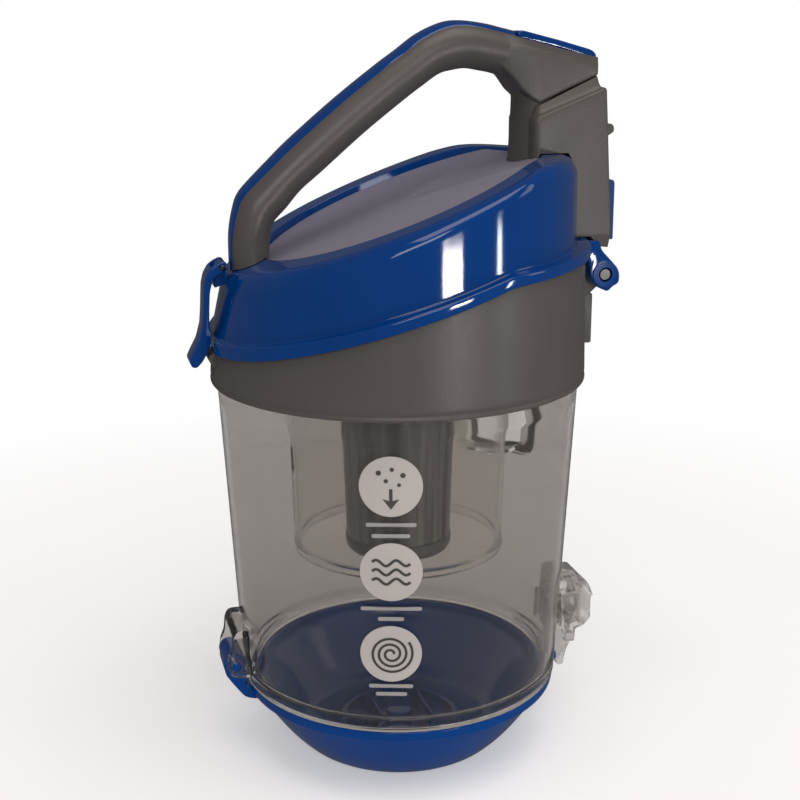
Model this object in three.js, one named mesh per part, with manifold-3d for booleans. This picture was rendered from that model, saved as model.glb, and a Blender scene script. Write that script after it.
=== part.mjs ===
import * as THREE from 'three';
import Module from 'manifold-3d';

// Dust cup of a bagless vacuum cleaner. Millimetres, +Z up, origin at the centre of the flat base.
// -X is the side with the lid latch, +X the side with the lid hinge and the docking catch.

const GAP = 0.3;                 // clearance between pieces that touch
const AROUND = 48;               // facets of every large ring

const CUP = { zFoot: 37.2, zRim: 180, zNeck: 192, rFoot: 74.8, rRim: 82.3, wall: 2.2 };
const DOOR = { rBase: 46.5, rRim: 74.2, zRim: 36.6 };
const DOOR_PIN = { x: -81.2, z: 48.5, r: 2.2 };
const DOOR_LATCH = { x: 84.5, z: 54, width: 26, ears: 7.2, pin: 24.6, pinR: 1.5 };
const COLLAR = { rOut: 85.2, rTop: 83.9, rIn: 81, zFoot: 180.2 };
const LID = {
  rFlange: 86.4, rWall: 81.7, wall: 3, shift: -2, rTop: 77, rInset: 61.5, pinch: 4.6, topPinch: 3,
};
const LID_PIN = { x: 93.5, z: 223.5, r: 3, bossR: 7.4, width: 36 };
const LID_LATCH = { x: -79.4, z: 233.2, width: 14, pin: 14.8, pinR: 1.2 };
const HANDLE = { width: 24, trim: 3.6, floor: 3 };
const BUTTON = { width: 14.4 };
const TOWER = { width: 36, front: 58, skin: 2.4 };
const PORT = { azimuth: 35, z: 147.5, width: 34, height: 44, rFace: 86 };
const SCREEN = { zTop: 196.6, zFoot: 103.6, rTop: 27, rFoot: 24.4, skin: 1.2 };
const CYCLONE = { zTop: 196.6, zFoot: 98, rTop: 51.2, rFoot: 48.9, skin: 1.8 };

// Slanted surfaces of the lid: height as a function of x.
const flangeZ = (x) => (x < 27 ? 223.5 + 0.318 * x : 232.1 + 0.066 * (x - 27));
const flangeTopZ = (x) => flangeZ(x) + 5.2 - 0.008 * x;
const shoulderZ = (x) => Math.min(257 + 0.42 * x, 272.5);
const crownZ = (x) => Math.min(260.2 + 0.385 * x, 278);
const insetZ = (x) => Math.min(255.5 + 0.384 * x, 275.5);

const wasm = await Module();
wasm.setup();
const group = new THREE.Group();

const MATERIALS = {
  blue: [0x0b3d8c, 0.25, 0],
  grey: [0x585250, 0.45, 0],
  panel: [0x66606e, 0.4, 0],
  clear: [0x9a9894, 0.1, 0],
  rubber: [0x2a2a2c, 0.8, 0],
  screen: [0x4a4a4c, 0.4, 0.7],
  steel: [0xb4b4b8, 0.3, 0.9],
  foam: [0x2f3134, 0.95, 0],
  felt: [0xd8d6d0, 0.95, 0],
};

function add(name, geometry, key) {
  const [color, roughness, metalness] = MATERIALS[key];
  const material = new THREE.MeshStandardMaterial({ color, roughness, metalness });
  const mesh = new THREE.Mesh(geometry, material);
  mesh.name = name;
  group.add(mesh);
}

// ---- triangle and boolean helpers ----

function fromTriangles(points, faces) {
  const geometry = new THREE.BufferGeometry();
  geometry.setAttribute('position', new THREE.Float32BufferAttribute(points.flat(), 3));
  geometry.setIndex(faces.flat());
  geometry.computeVertexNormals();
  return geometry;
}

function weld(geometry) {
  const source = geometry.index ? geometry.toNonIndexed() : geometry;
  const position = source.attributes.position;
  const seen = new Map();
  const points = [];
  const index = [];
  for (let i = 0; i < position.count; i += 1) {
    const p = [position.getX(i), position.getY(i), position.getZ(i)];
    const key = p.map((v) => Math.round(v * 1e4)).join(',');
    if (!seen.has(key)) {
      seen.set(key, points.length);
      points.push(p);
    }
    index.push(seen.get(key));
  }
  const faces = [];
  for (let i = 0; i < index.length; i += 3) {
    const [a, b, c] = index.slice(i, i + 3);
    if (a !== b && b !== c && c !== a) faces.push([a, b, c]);
  }
  return { points, faces };
}

function solid(geometry) {
  const { points, faces } = weld(geometry);
  const mesh = new wasm.Mesh({
    numProp: 3,
    vertProperties: new Float32Array(points.flat()),
    triVerts: new Uint32Array(faces.flat()),
  });
  return new wasm.Manifold(mesh);
}

function toGeometry(manifold) {
  const mesh = manifold.getMesh();
  const geometry = new THREE.BufferGeometry();
  const values = Float32Array.from(mesh.vertProperties);
  geometry.setAttribute('position', new THREE.BufferAttribute(values, 3));
  geometry.setIndex(Array.from(mesh.triVerts));
  geometry.computeVertexNormals();
  return geometry;
}

function fuse(first, ...others) {
  return others.reduce((sum, geometry) => sum.add(solid(geometry)), solid(first));
}

function carve(manifold, ...tools) {
  return tools.reduce((rest, geometry) => rest.subtract(solid(geometry)), manifold);
}

// ---- shapes ----

// Stack of rings. Each ring is a list of points; a ring of one point is an apex.
function stack(rings, closed = false) {
  const points = [];
  const starts = rings.map((ring) => {
    const start = points.length;
    points.push(...ring);
    return start;
  });
  const faces = [];
  const join = (a, b) => {
    const n = Math.max(rings[a].length, rings[b].length);
    const at = (k, i) => starts[k] + (rings[k].length === 1 ? 0 : i % n);
    for (let i = 0; i < n; i += 1) {
      if (rings[a].length > 1) faces.push([at(a, i), at(a, i + 1), at(b, i)]);
      if (rings[b].length > 1) faces.push([at(a, i + 1), at(b, i + 1), at(b, i)]);
    }
  };
  for (let k = 0; k + 1 < rings.length; k += 1) join(k, k + 1);
  if (closed) join(rings.length - 1, 0);
  return fromTriangles(points, faces);
}

// One ring of a turned shape; z is a number or a function of x, cx shifts its centre along X.
function ring(r, z, cx = 0, n = AROUND, pinch = 0) {
  const height = (x) => (typeof z === 'function' ? z(x) : z);
  if (r === 0) return [[cx, 0, height(cx)]];
  return Array.from({ length: n }, (_, i) => {
    const angle = (2 * Math.PI * i) / n;
    const radius = r - pinch * Math.max(-Math.cos(angle), 0) ** 3;
    const x = cx + radius * Math.cos(angle);
    return [x, radius * Math.sin(angle), height(x)];
  });
}

// Turned solid from [r, z] pairs listed anticlockwise in the r-z half plane.
function turned(profile, n = AROUND) {
  const closed = profile[0][0] !== 0;
  return stack(profile.map(([r, z]) => ring(r, z, 0, n)), closed);
}

function prism(outline, y0, y1) {
  const shape = new THREE.Shape(outline.map(([x, z]) => new THREE.Vector2(x, z)));
  const geometry = new THREE.ExtrudeGeometry(shape, { depth: y1 - y0, bevelEnabled: false });
  geometry.rotateX(Math.PI / 2);
  geometry.translate(0, y1, 0);
  return geometry;
}

function block(x0, x1, y0, y1, z0, z1) {
  const geometry = new THREE.BoxGeometry(x1 - x0, y1 - y0, z1 - z0);
  geometry.translate((x0 + x1) / 2, (y0 + y1) / 2, (z0 + z1) / 2);
  return geometry;
}

function crossBar(x, z, r, width, n = 16) {
  const geometry = new THREE.CylinderGeometry(r, r, width, n);
  geometry.translate(x, 0, z);
  return geometry;
}

function pair(make) {
  return [make(1), make(-1)];
}

function sidePlates(outline, inner, outer) {
  return [prism(outline, inner, outer), prism(outline, -outer, -inner)];
}

function coil(start, end, radius, wire, turns) {
  const a = new THREE.Vector3(...start);
  const axis = new THREE.Vector3(...end).sub(a);
  const length = axis.length();
  axis.normalize();
  const side = new THREE.Vector3(0, 1, 0);
  const up = new THREE.Vector3().crossVectors(axis, side);
  const steps = turns * 8;
  const rings = [];
  for (let i = 0; i <= steps; i += 1) {
    const angle = (2 * Math.PI * i) / 8;
    const out = side.clone().multiplyScalar(Math.cos(angle)).addScaledVector(up, Math.sin(angle));
    const along = wire + ((length - 2 * wire) * i) / steps;
    const centre = a.clone().addScaledVector(axis, along).addScaledVector(out, radius);
    rings.push([0, 1, 2, 3].map((k) => {
      const turn = (Math.PI * k) / 2;
      const p = centre.clone().addScaledVector(out, -wire * Math.cos(turn));
      return p.addScaledVector(axis, -wire * Math.sin(turn)).toArray();
    }));
  }
  const mean = (list) => [0, 1, 2].map((k) => list.reduce((s, p) => s + p[k], 0) / list.length);
  return stack([[mean(rings[0])], ...rings, [mean(rings[steps])]]);
}

function outward(geometry) {
  const { points, faces } = weld(geometry);
  let volume = 0;
  for (const [a, b, c] of faces) {
    const [p, q, r] = [points[a], points[b], points[c]].map((v) => new THREE.Vector3(...v));
    volume += p.dot(q.cross(r));
  }
  const ordered = volume > 0 ? faces : faces.map(([a, b, c]) => [a, c, b]);
  return fromTriangles(points, ordered);
}

// ---- bottom door ----

function doorShell() {
  const { rBase, rRim, zRim } = DOOR;
  return turned([
    [0, 0], [rBase, 0], [57, 10.5], [69.5, 28.5], [70.6, 30.6], [73.6, 31.6], [rRim, 33.4],
    [rRim, zRim], [72.7, zRim], [72.7, 34.1], [69.3, 34.1], [69.3, zRim], [67.4, zRim],
    [66.8, 31.8], [54.8, 13], [45.6, 3], [0, 3],
  ]);
}

function doorInside() {
  const step = turned([[26, 2.6], [30, 2.6], [30, 6], [28.6, 7], [26, 7]], 24);
  const boss = turned([[0, 2.6], [7, 2.6], [6, 8.4], [0, 8.4]], 16);
  const fins = pair((s) => block(12 * s - 1.2, 12 * s + 1.2, -20, 20, 2.6, 13));
  return [step, boss, ...fins];
}

function bottomDoor() {
  const { x, z } = DOOR_PIN;
  const arm = prism([
    [x - 5, z - 1], [x - 4.6, 43], [-82, 37.2], [-77, 30.4], [-71, 28.6], [-69.5, 30.8],
    [-71, 33.2], [-73.2, 33.6], [-73.4, 36.4], [-76.4, 36.4], [-76.4, z - 2],
  ], -9.7, 9.7);
  const ledge = prism([[71, 31.2], [76, 29], [78.6, 29], [78.6, 33.4], [73, 33.4]], -9, 9);
  const body = fuse(doorShell(), arm, crossBar(x, z, 5, 19.4), ledge, ...doorInside());
  return toGeometry(carve(body, crossBar(x, z, DOOR_PIN.r + GAP, 60)));
}

// ---- dust cup ----

function cupWall() {
  const { zFoot, zRim, zNeck, rFoot, rRim, wall } = CUP;
  const neck = COLLAR.rIn - 0.4;
  return turned([
    [rFoot, zFoot], [rFoot + 0.4, 44], [rRim, zRim - 0.3], [neck, zRim - 0.1], [neck, zNeck],
    [neck - wall, zNeck], [neck - wall, zRim], [rRim - wall - 0.2, 172], [73, 44.5],
    [72.4, 43.4], [69.2, 41.6], [68.6, 40.6], [68.6, zFoot],
  ]);
}

function doorLugs() {
  const ear = [
    [-73.4, 42.6], [-79.5, 42.4], [-83.4, 43.6], [-85.4, 47], [-85, 52], [-83, 56.4],
    [-82.4, 63.4], [-80.4, 66.4], [-74.2, 66.4],
  ];
  const hood = [[-82.4, 61.4], [-82.2, 64], [-80.4, 66.4], [-75.2, 66.4], [-74.9, 61.4]];
  return [...sidePlates(ear, 10.1, 14.1), prism(hood, -12, 12)];
}

function latchBracket() {
  const { x, z, ears } = DOOR_LATCH;
  const ear = [[73.4, z - 8], [x + 1.6, z - 4], [x + 3.4, z], [x + 1.6, z + 4], [74, z + 8]];
  return sidePlates(ear, ears - 1.3, ears + 1.3);
}

function turnedAboutZ(geometry, degrees) {
  return geometry.rotateZ((degrees * Math.PI) / 180);
}

function roundedTube(width, height, x0, x1) {
  const shape = new THREE.Shape();
  const [w, h, r] = [width / 2, height / 2, 6];
  shape.moveTo(-w + r, -h);
  shape.lineTo(w - r, -h);
  shape.quadraticCurveTo(w, -h, w, -h + r);
  shape.lineTo(w, h - r);
  shape.quadraticCurveTo(w, h, w - r, h);
  shape.lineTo(-w + r, h);
  shape.quadraticCurveTo(-w, h, -w, h - r);
  shape.lineTo(-w, -h + r);
  shape.quadraticCurveTo(-w, -h, -w + r, -h);
  const options = { depth: x1 - x0, bevelEnabled: false, curveSegments: 3 };
  const geometry = new THREE.ExtrudeGeometry(shape, options);
  geometry.rotateX(Math.PI / 2);
  geometry.rotateZ(Math.PI / 2);
  geometry.translate(x0, 0, PORT.z);
  return turnedAboutZ(geometry, PORT.azimuth);
}

function dustCup() {
  const body = fuse(cupWall(), ...doorLugs(), ...latchBracket());
  return toGeometry(carve(
    body,
    crossBar(DOOR_PIN.x, DOOR_PIN.z, DOOR_PIN.r + GAP, 60),
    crossBar(DOOR_LATCH.x, DOOR_LATCH.z, DOOR_LATCH.pinR + GAP, 60),
    roundedTube(PORT.width + 2 * GAP, PORT.height + 2 * GAP, 60, 100),
  ));
}

function inletPort() {
  const { width, height, rFace } = PORT;
  const tube = roundedTube(width, height, 66, rFace);
  const flange = roundedTube(width + 7, height + 7, rFace - 2.5, rFace);
  return toGeometry(carve(fuse(tube, flange), roundedTube(width - 4, height - 4, 50, 100)));
}

function inletSeal() {
  const { width, height, rFace } = PORT;
  const ringOut = solid(roundedTube(width + 6, height + 6, rFace + GAP, rFace + 1.8));
  return toGeometry(carve(ringOut, roundedTube(width - 2, height - 2, 50, 100)));
}

// ---- door latch ----

function doorLatch() {
  const { x, z, width, ears, pin, pinR } = DOOR_LATCH;
  const body = solid(prism([
    [81.6, 71.6], [91.8, 71.2], [93.4, 68.8], [95.6, 63.2], [94.4, 62.2], [94.4, 51.4],
    [90.8, 47.4], [86.6, 46.2], [86.6, 42.6], [86, 37.6], [84.2, 33.6], [83.4, 30.2],
    [82.6, 25.4], [79.4, 25.4], [79.4, 28.6], [80.8, 31], [81.8, 36], [81.8, 44],
    [80.6, 48], [80.6, 62],
  ], -width / 2, width / 2));
  const pocket = block(76, 90.8, -4, 4, 60, 68.4);
  const slots = pair((s) => block(76, 90, s * ears - 1.7, s * ears + 1.7, 43, 64));
  const narrow = pair((s) => block(76, 100, s * 15 - 7, s * 15 + 7, 10, 40));
  const bore = crossBar(x, z, pinR + GAP, pin + 0.6);
  return toGeometry(carve(body, pocket, ...slots, ...narrow, bore));
}

// ---- cyclone ----

function cycloneTube() {
  const { zTop, zFoot, rTop, rFoot, skin } = CYCLONE;
  const wall = solid(turned([
    [rFoot + 0.5, zFoot], [rFoot + 0.5, zFoot + 3], [rFoot, zFoot + 4], [rTop, zTop - 3],
    [rTop + 3, zTop - 3], [rTop + 3, zTop], [rTop - skin, zTop], [rFoot - skin, zFoot + 4],
    [rFoot - 2.4, zFoot + 3], [rFoot - 2.4, zFoot],
  ]));
  const slot = block(-60, -40, -4, 4, 111, 148);
  const step = block(-60, -40, -8, 4, 136, 148);
  return toGeometry(carve(wall, turnedAboutZ(slot, -8), turnedAboutZ(step, -8)));
}

function meshScreen() {
  const { zTop, zFoot, rTop, rFoot, skin } = SCREEN;
  return turned([
    [rFoot, zFoot], [rTop, zTop - 2], [rTop + 2, zTop - 2], [rTop + 2, zTop],
    [rTop - skin, zTop], [rFoot - skin, zFoot],
  ], 32);
}

function screenCap() {
  return turned([
    [0, 95.3], [20.5, 95.3], [23.4, 96.5], [24.6, 99.3], [24.9, 103.3], [0, 103.3],
  ], 32);
}

function separatorPlate() {
  return turned([
    [20, 196.9], [78.4, 196.9], [78.4, 199.4], [23, 199.4], [23, 201.6], [20, 201.6],
  ]);
}

function plateSeal() {
  return turned([[76.4, 195.3], [78.4, 195.3], [78.4, 196.6], [76.4, 196.6]]);
}

// ---- filters ----

function filterTray() {
  return turned([
    [24, 199.7], [66, 199.7], [66, 217], [64, 217], [64, 201.7], [24, 201.7],
  ], 32);
}

function filterDisc(z0, z1) {
  return turned([[0, z0], [63.4, z0], [63.4, z1], [0, z1]], 32);
}

// ---- collar ----

function collarWall() {
  const { rOut, rTop, rIn, zFoot } = COLLAR;
  const top = (x) => flangeZ(x) - GAP;
  return stack([
    ring(83.4, zFoot), ring(84.7, zFoot + 1.4), ring(rOut, zFoot + 5),
    ring(rTop, top), ring(rIn, top), ring(rIn, 195), ring(76, 195), ring(76, 192.4),
    ring(rIn, 192.4), ring(rIn, zFoot),
  ], true);
}

function hingeLug() {
  const { x, z } = LID_PIN;
  const lug = prism([
    [82, 214.5], [83.4, 211.5], [88.8, 212.4], [93.8, 216.8], [x + 5, z - 3], [x + 6, z + 1],
    [x + 3.5, z + 5.2], [x - 1.5, z + 6], [x - 6, z + 4], [82, 226],
  ], -9.6, 9.6);
  return lug;
}

function collar() {
  const rib = block(82.6, 91.6, -9, 9, 189.8, 213.4);
  const bead = prism([[-84, 190], [-87, 192.6], [-87, 194.2], [-84, 195.4]], -8, 8);
  const body = fuse(collarWall(), hingeLug(), rib, bead);
  return toGeometry(carve(body, crossBar(LID_PIN.x, LID_PIN.z, LID_PIN.r + GAP, 60)));
}

// ---- lid ----

function lidOuter(grow) {
  const c = LID.shift;
  const lift = (f) => (x) => f(x) + grow;
  return [
    ring(LID.rFlange + grow, (x) => flangeZ(x) - grow),
    ring(LID.rFlange + grow, lift(flangeTopZ)),
    ring(LID.rWall + grow, (x) => flangeTopZ(x) + 0.3 + grow, c),
    ring(LID.rWall - 0.4 + grow, lift(shoulderZ), c, AROUND, LID.pinch),
    ring(LID.rTop + grow, lift(crownZ), -1.2, AROUND, LID.topPinch),
  ];
}

function lidShell() {
  const c = LID.shift;
  const inner = LID.rWall - LID.wall;
  return stack([
    ring(0, (x) => insetZ(x) - 2.6),
    ring(60, (x) => insetZ(x) - 2.6),
    ring(73.5, (x) => crownZ(x) - 3.4, -1.2, AROUND, LID.topPinch),
    ring(inner - 0.4, (x) => shoulderZ(x) - 1.6, c, AROUND, LID.pinch),
    ring(inner, flangeZ, c),
    ring(81.5, flangeZ),
    ring(81.5, (x) => flangeZ(x) + 1.8),
    ring(83.5, (x) => flangeZ(x) + 1.8),
    ring(83.5, flangeZ),
    ...lidOuter(0),
    ring(LID.rInset + 1, crownZ, 1),
    ring(LID.rInset, insetZ, 1),
    ring(0, insetZ, 1),
  ].reverse());
}

// Solid block that fills the lid and the space below it, grown by the clearance.
function lidEnvelope() {
  return stack([
    ring(0, 150), ring(LID.rFlange + GAP, 150), ...lidOuter(GAP),
    ring(LID.rInset + 1 - GAP, (x) => crownZ(x) + GAP, 1),
    ring(LID.rInset - GAP, (x) => insetZ(x) + GAP, 1), ring(0, (x) => insetZ(x) + GAP, 1),
  ]);
}

function hingeArm() {
  return [
    [80.4, 238.2], [80.4, 240.6], [85.6, 240.8], [88.4, 236.8], [93.6, 232.4], [99.8, 226.2],
    [100.9, 222.9], [100.6, 219.2], [97.2, 217.5], [95.3, 215.3], [91.2, 217.2], [87.7, 219.9],
    [86.2, 223.2], [86.1, 226.9], [85, 230.2], [84.8, 237.9],
  ];
}

function lid() {
  const { x, z, r, width } = LID_PIN;
  const arms = sidePlates(hingeArm(), 10, width / 2);
  const lug = prism([[-83, 224], [-82.2, 234], [-79.4, 236], [-77, 234], [-77, 226]], -4.2, 4.2);
  const body = fuse(outward(lidShell()), ...arms, lug);
  const notch = block(-92, -84.4, -13, 13, 190, flangeTopZ(-86) + 1.4);
  return toGeometry(carve(
    body,
    notch,
    crossBar(x, z, r + GAP, 60),
    crossBar(LID_LATCH.x, LID_LATCH.z, LID_LATCH.pinR + GAP, 60),
  ));
}

function lidSeal() {
  const z = (lift) => (x) => flangeZ(x) + lift;
  return stack([
    ring(81.8, z(0)), ring(83.2, z(0)), ring(83.2, z(1.5)), ring(81.8, z(1.5)),
  ], true);
}

function insetPanel() {
  const disc = solid(outward(stack([
    ring(0, (x) => insetZ(x) + GAP, 1), ring(61, (x) => insetZ(x) + GAP, 1),
    ring(61, (x) => insetZ(x) + 1.6, 1), ring(0, (x) => insetZ(x) + 1.6, 1),
  ])));
  return toGeometry(carve(
    disc,
    block(52.6, 90, -12.9, 12.9, 240, 300),
    block(57.6, 90, -18.4, 18.4, 240, 300),
    block(-80, -56.8, -12.9, 12.9, 210, 260),
  ));
}

function lidLatch() {
  const { x, z, width, pinR } = LID_LATCH;
  const lever = solid(prism([
    [x + 2.2, z - 1], [x + 2.4, z + 1.4], [x + 0.8, z + 2.9], [-81.6, 235], [-84.6, 232.8],
    [-86.6, 229.2], [-87.6, 225], [-88.3, 214], [-88.9, 207.5], [-90.8, 201], [-93.6, 195.8],
    [-95.2, 192.6], [-94.4, 190], [-92.2, 189.6], [-89.6, 192.2], [-87.2, 196.4],
    [-85.8, 199.6], [-85.3, 204.6], [-86, 207.6], [-85.8, 214], [-85.2, 222.6], [-84, 227.2],
    [-82.4, 229.6], [x - 0.2, z - 2.6],
  ], -width / 2, width / 2));
  const fork = block(-84, -74, -4.6, 4.6, 220, 240);
  return toGeometry(carve(lever, fork, crossBar(x, z, pinR + GAP, 60)));
}

// ---- handle ----

// Stations along the handle: outer edge, inner edge, half width of the trim strip.
const HANDLE_EDGES = [
  [-75, 222, -58.4, 222, 5], [-75.2, 238, -58.2, 237, 5], [-74.8, 248.4, -57.1, 247, 5.8],
  [-72.8, 258.1, -55.6, 251.4, 6.6], [-70.7, 263.4, -53.8, 253.6, 7],
  [-66.9, 268, -50, 257.4, 7.4], [-57.7, 276.9, -43.4, 264.8, 7.8],
  [-47.5, 286.4, -34.1, 272.4, 8], [-27.6, 302.8, -14.9, 288.5, 8], [-9.2, 316.6, 3, 302.1, 8],
  [-0.5, 322.6, 11.2, 307.9, 8], [9.6, 329.7, 18.7, 312.8, 8], [20.4, 334.3, 24.9, 314.4, 8],
  [29, 335.1, 31, 315.1, 8], [39.5, 333.8, 37.5, 314.1, 8], [47.4, 332, 43.1, 313, 7.8],
  [52.5, 330.8, 47.8, 311.4, 7.6], [62, 327.8, 52.2, 308.6, 7.5],
];
const TRIM_STATIONS = 17;

function alongHandle(section, stations) {
  const rings = stations.map(([xo, zo, xi, zi, trim]) => {
    const depth = Math.hypot(xo - xi, zo - zi);
    const [dx, dz] = [(xi - xo) / depth, (zi - zo) / depth];
    return section(trim, depth).map(([y, d]) => [xo + dx * d, y, zo + dz * d]);
  });
  const flat = section(5, 20).map(([y, d]) => new THREE.Vector2(y, d));
  const caps = THREE.ShapeUtils.triangulateShape(flat, []);
  const n = flat.length;
  const faces = [];
  for (let k = 0; k + 1 < rings.length; k += 1) {
    for (let i = 0; i < n; i += 1) {
      const [a, b] = [k * n + i, k * n + ((i + 1) % n)];
      faces.push([a, b, a + n], [b, b + n, a + n]);
    }
  }
  const last = (rings.length - 1) * n;
  for (const [a, b, c] of caps) faces.push([a, c, b], [last + a, last + b, last + c]);
  return outward(fromTriangles(rings.flat(), faces));
}

// Oval channel, open on the outer side for the trim strip.
function gripSection(trim, depth) {
  const w = HANDLE.width / 2;
  const v = trim + GAP;
  const side = [
    [v, depth - HANDLE.floor], [v, 0.03 * v * v], [0.9 * w, 0.28 * depth], [w, 0.44 * depth],
    [w, 0.58 * depth], [0.84 * w, 0.78 * depth], [0.45 * w, 0.96 * depth], [0.2 * w, depth],
  ];
  const mirrored = side.map(([y, d]) => [-y, d]).reverse();
  return [...side, ...mirrored];
}

function trimSection(w) {
  const drop = 0.032 * w * w;
  const side = [[w, HANDLE.trim], [w, drop], [0.55 * w, 0.3 * drop], [0.15 * w, 0]];
  return [...side.map(([y, d]) => [-y, d]), ...side.reverse()];
}

// Block that joins the handle to the tower; its top carries the release button.
function handleBlock() {
  const stations = [
    [47, 312.6, 323, 330, 11.5], [54, 306.2, 324.6, 328.3, 13.2],
    [61.6, 300.1, 323, 326.3, 14], [88.4, 311.9, 316.3, 319.5, 14],
  ];
  const rings = stations.map(([x, zb, zt, zr, w]) => [
    [x, -w, zb], [x, -w, zt], [x, -8, zr], [x, 8, zr], [x, w, zt], [x, w, zb],
  ]);
  return outward(stack([[[47, 0, 320]], ...rings, [[88.4, 0, 315]]]));
}

function nose() {
  const plan = [
    [53, -4], [54.4, -8.6], [57.7, -12], [57.7, 12], [54.4, 8.6], [53, 4],
  ];
  const at = (z, dx) => plan.map(([x, y]) => [Math.min(x + dx, 57.7), y, z]);
  const rings = [at(262, -0.6), at(292, 0), at(303, 1), at(311, 2)];
  return outward(stack([[[56, 0, 262]], ...rings, [[56, 0, 311]]]));
}

function handleGrip() {
  const body = fuse(alongHandle(gripSection, HANDLE_EDGES), handleBlock(), nose());
  const well = prism([
    [46, 328.4], [52.7, 326.8], [52.7, 324.5], [73.5, 319.7], [89, 315.4], [89, 340], [46, 340],
  ], -8.2, 8.2);
  const springWell = new THREE.CylinderGeometry(4.4, 4.4, 20, 16);
  springWell.rotateX(Math.PI / 2);
  springWell.translate(66, 0, 322);
  return toGeometry(carve(
    body, lidEnvelope(), well, springWell, block(80.4, 85.6, -4.6, 4.6, 300, 325),
  ));
}

function handleTrim() {
  const strip = solid(alongHandle(trimSection, HANDLE_EDGES.slice(0, TRIM_STATIONS)));
  return toGeometry(carve(strip, lidEnvelope()));
}

// ---- tower ----

const towerFootZ = (x) => 249 - 0.14 * x;
const towerTopZ = (x) => 293.3 + 0.385 * (x - 57);
const towerCrestZ = (x) => 297.3 + 0.452 * (x - 57.5);

function towerRing(height, half, inset) {
  const w = half - inset;
  const [f, b] = [TOWER.front + inset, 96.5 - inset];
  const right = [[f, -w + 1.8], [f + 1.8, -w], [b - 1.6, -w], [b, -w + 1.6]];
  const left = right.map(([x, y]) => [x, -y]).reverse();
  return [...right, ...left].map(([x, y]) => {
    const leanedX = x > 80 ? (x - 0.0675 * (height(x - 4) - 236)) : x;
    return [leanedX, y, height(leanedX)];
  });
}

function towerStack(inset, foot, top, crest) {
  const half = TOWER.width / 2;
  const rings = [
    towerRing(foot, half, inset), towerRing(top, half, inset), towerRing(crest, 14, inset),
  ];
  const middle = (f) => [[77, 0, f(77)]];
  return outward(stack([middle(foot), ...rings, middle(crest)]));
}

function towerHousing() {
  const { skin } = TOWER;
  const lower = (f, drop) => (x) => f(x) - drop;
  const body = solid(towerStack(0, towerFootZ, towerTopZ, towerCrestZ));
  const core = towerStack(skin, lower(towerFootZ, 6), lower(towerTopZ, 1),
    lower(towerCrestZ, skin));
  return toGeometry(carve(
    body, core, lidEnvelope(),
    ...sidePlates([[80.1, 225], [80.1, 241.2], [85.9, 241.2], [99, 227.6], [99, 225]], 9.7, 19),
    block(85, 110, -11, 11, 243, 262),
    block(85, 110, -7.4, 7.4, 284.3, 290.8),
    block(80.4, 85.6, -4.6, 4.6, 300, 325),
  ));
}

function outletGasket() {
  const face = [[96.6, 239], [98, 239], [98, 265.5], [94.9, 265.5]];
  const frame = solid(prism(face, -15, 15));
  return toGeometry(carve(frame, block(85, 110, -11, 11, 243, 262)));
}

// ---- release button and docking catch ----

function releaseButton() {
  const w = BUTTON.width / 2;
  return prism([
    [53.1, 327.9], [53.1, 330.4], [55.5, 331], [73.5, 326.7], [88, 322.5], [90.2, 320.6],
    [90.2, 317.8], [88, 319], [73.5, 323.2],
  ], -w, w);
}

function releaseRod() {
  return prism([[85, 287], [85, 319.5], [81, 320.6], [81, 289.67]], -4, 4);
}

// The window's sloped wall is pushed sideways by the sloped end of the rod.
function bodyCatch() {
  const hook = solid(prism([
    [70, 284.9], [97.6, 284.9], [100.3, 286.6], [100.3, 288.8], [99.3, 290.2], [70, 290.2],
  ], -7, 7));
  const window = prism([[79.2, 290.5], [90.8, 290.5], [90.8, 284.6], [88.05, 284.6]], -4.4, 4.4);
  return toGeometry(carve(hook, window));
}

// ---- assembly ----

add('bottom_door', bottomDoor(), 'blue');
add('door_seal', turned([[69.6, 34.4], [72.4, 34.4], [72.4, 36.9], [69.6, 36.9]]), 'rubber');
add('door_hinge_pin', crossBar(DOOR_PIN.x, DOOR_PIN.z, DOOR_PIN.r, 28.6), 'blue');
add('dust_cup', dustCup(), 'clear');
add('inlet_port', inletPort(), 'clear');
add('inlet_seal', inletSeal(), 'rubber');
add('door_latch', doorLatch(), 'clear');
add('door_latch_pin', crossBar(DOOR_LATCH.x, DOOR_LATCH.z, DOOR_LATCH.pinR, DOOR_LATCH.pin), 'steel');
add('door_latch_spring', outward(coil([77, 0, 64.2], [90.4, 0, 64.2], 3, 0.5, 4)), 'steel');
add('cyclone_tube', cycloneTube(), 'clear');
add('mesh_screen', meshScreen(), 'screen');
add('screen_cap', screenCap(), 'rubber');
add('separator_plate', separatorPlate(), 'grey');
add('plate_seal', plateSeal(), 'rubber');
add('collar', collar(), 'grey');
add('filter_tray', filterTray(), 'grey');
add('foam_filter', filterDisc(202, 211.4), 'foam');
add('felt_filter', filterDisc(211.8, 216), 'felt');
add('lid', lid(), 'blue');
add('lid_seal', lidSeal(), 'rubber');
add('lid_inset_panel', insetPanel(), 'panel');
add('lid_hinge_pin', crossBar(LID_PIN.x, LID_PIN.z, LID_PIN.r, LID_PIN.width + 0.4), 'steel');
add('lid_latch', lidLatch(), 'blue');
add('lid_latch_pin', crossBar(LID_LATCH.x, LID_LATCH.z, LID_LATCH.pinR, LID_LATCH.pin), 'steel');
add('handle_grip', handleGrip(), 'grey');
add('handle_trim', handleTrim(), 'blue');
add('tower_housing', towerHousing(), 'grey');
add('outlet_gasket', outletGasket(), 'blue');
add('release_button', releaseButton(), 'blue');
add('release_rod', releaseRod(), 'grey');
add('release_spring', outward(coil([66, 0, 312.3], [66, 0, 324.6], 3.4, 0.5, 4)), 'steel');
add('body_catch', bodyCatch(), 'grey');
add('catch_spring', outward(coil([60.9, 0, 287.6], [69.7, 0, 287.6], 2.2, 0.4, 3)), 'steel');

export default group;
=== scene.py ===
import math

import bmesh
import bpy
import numpy as np
from mathutils import Matrix, Vector


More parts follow.
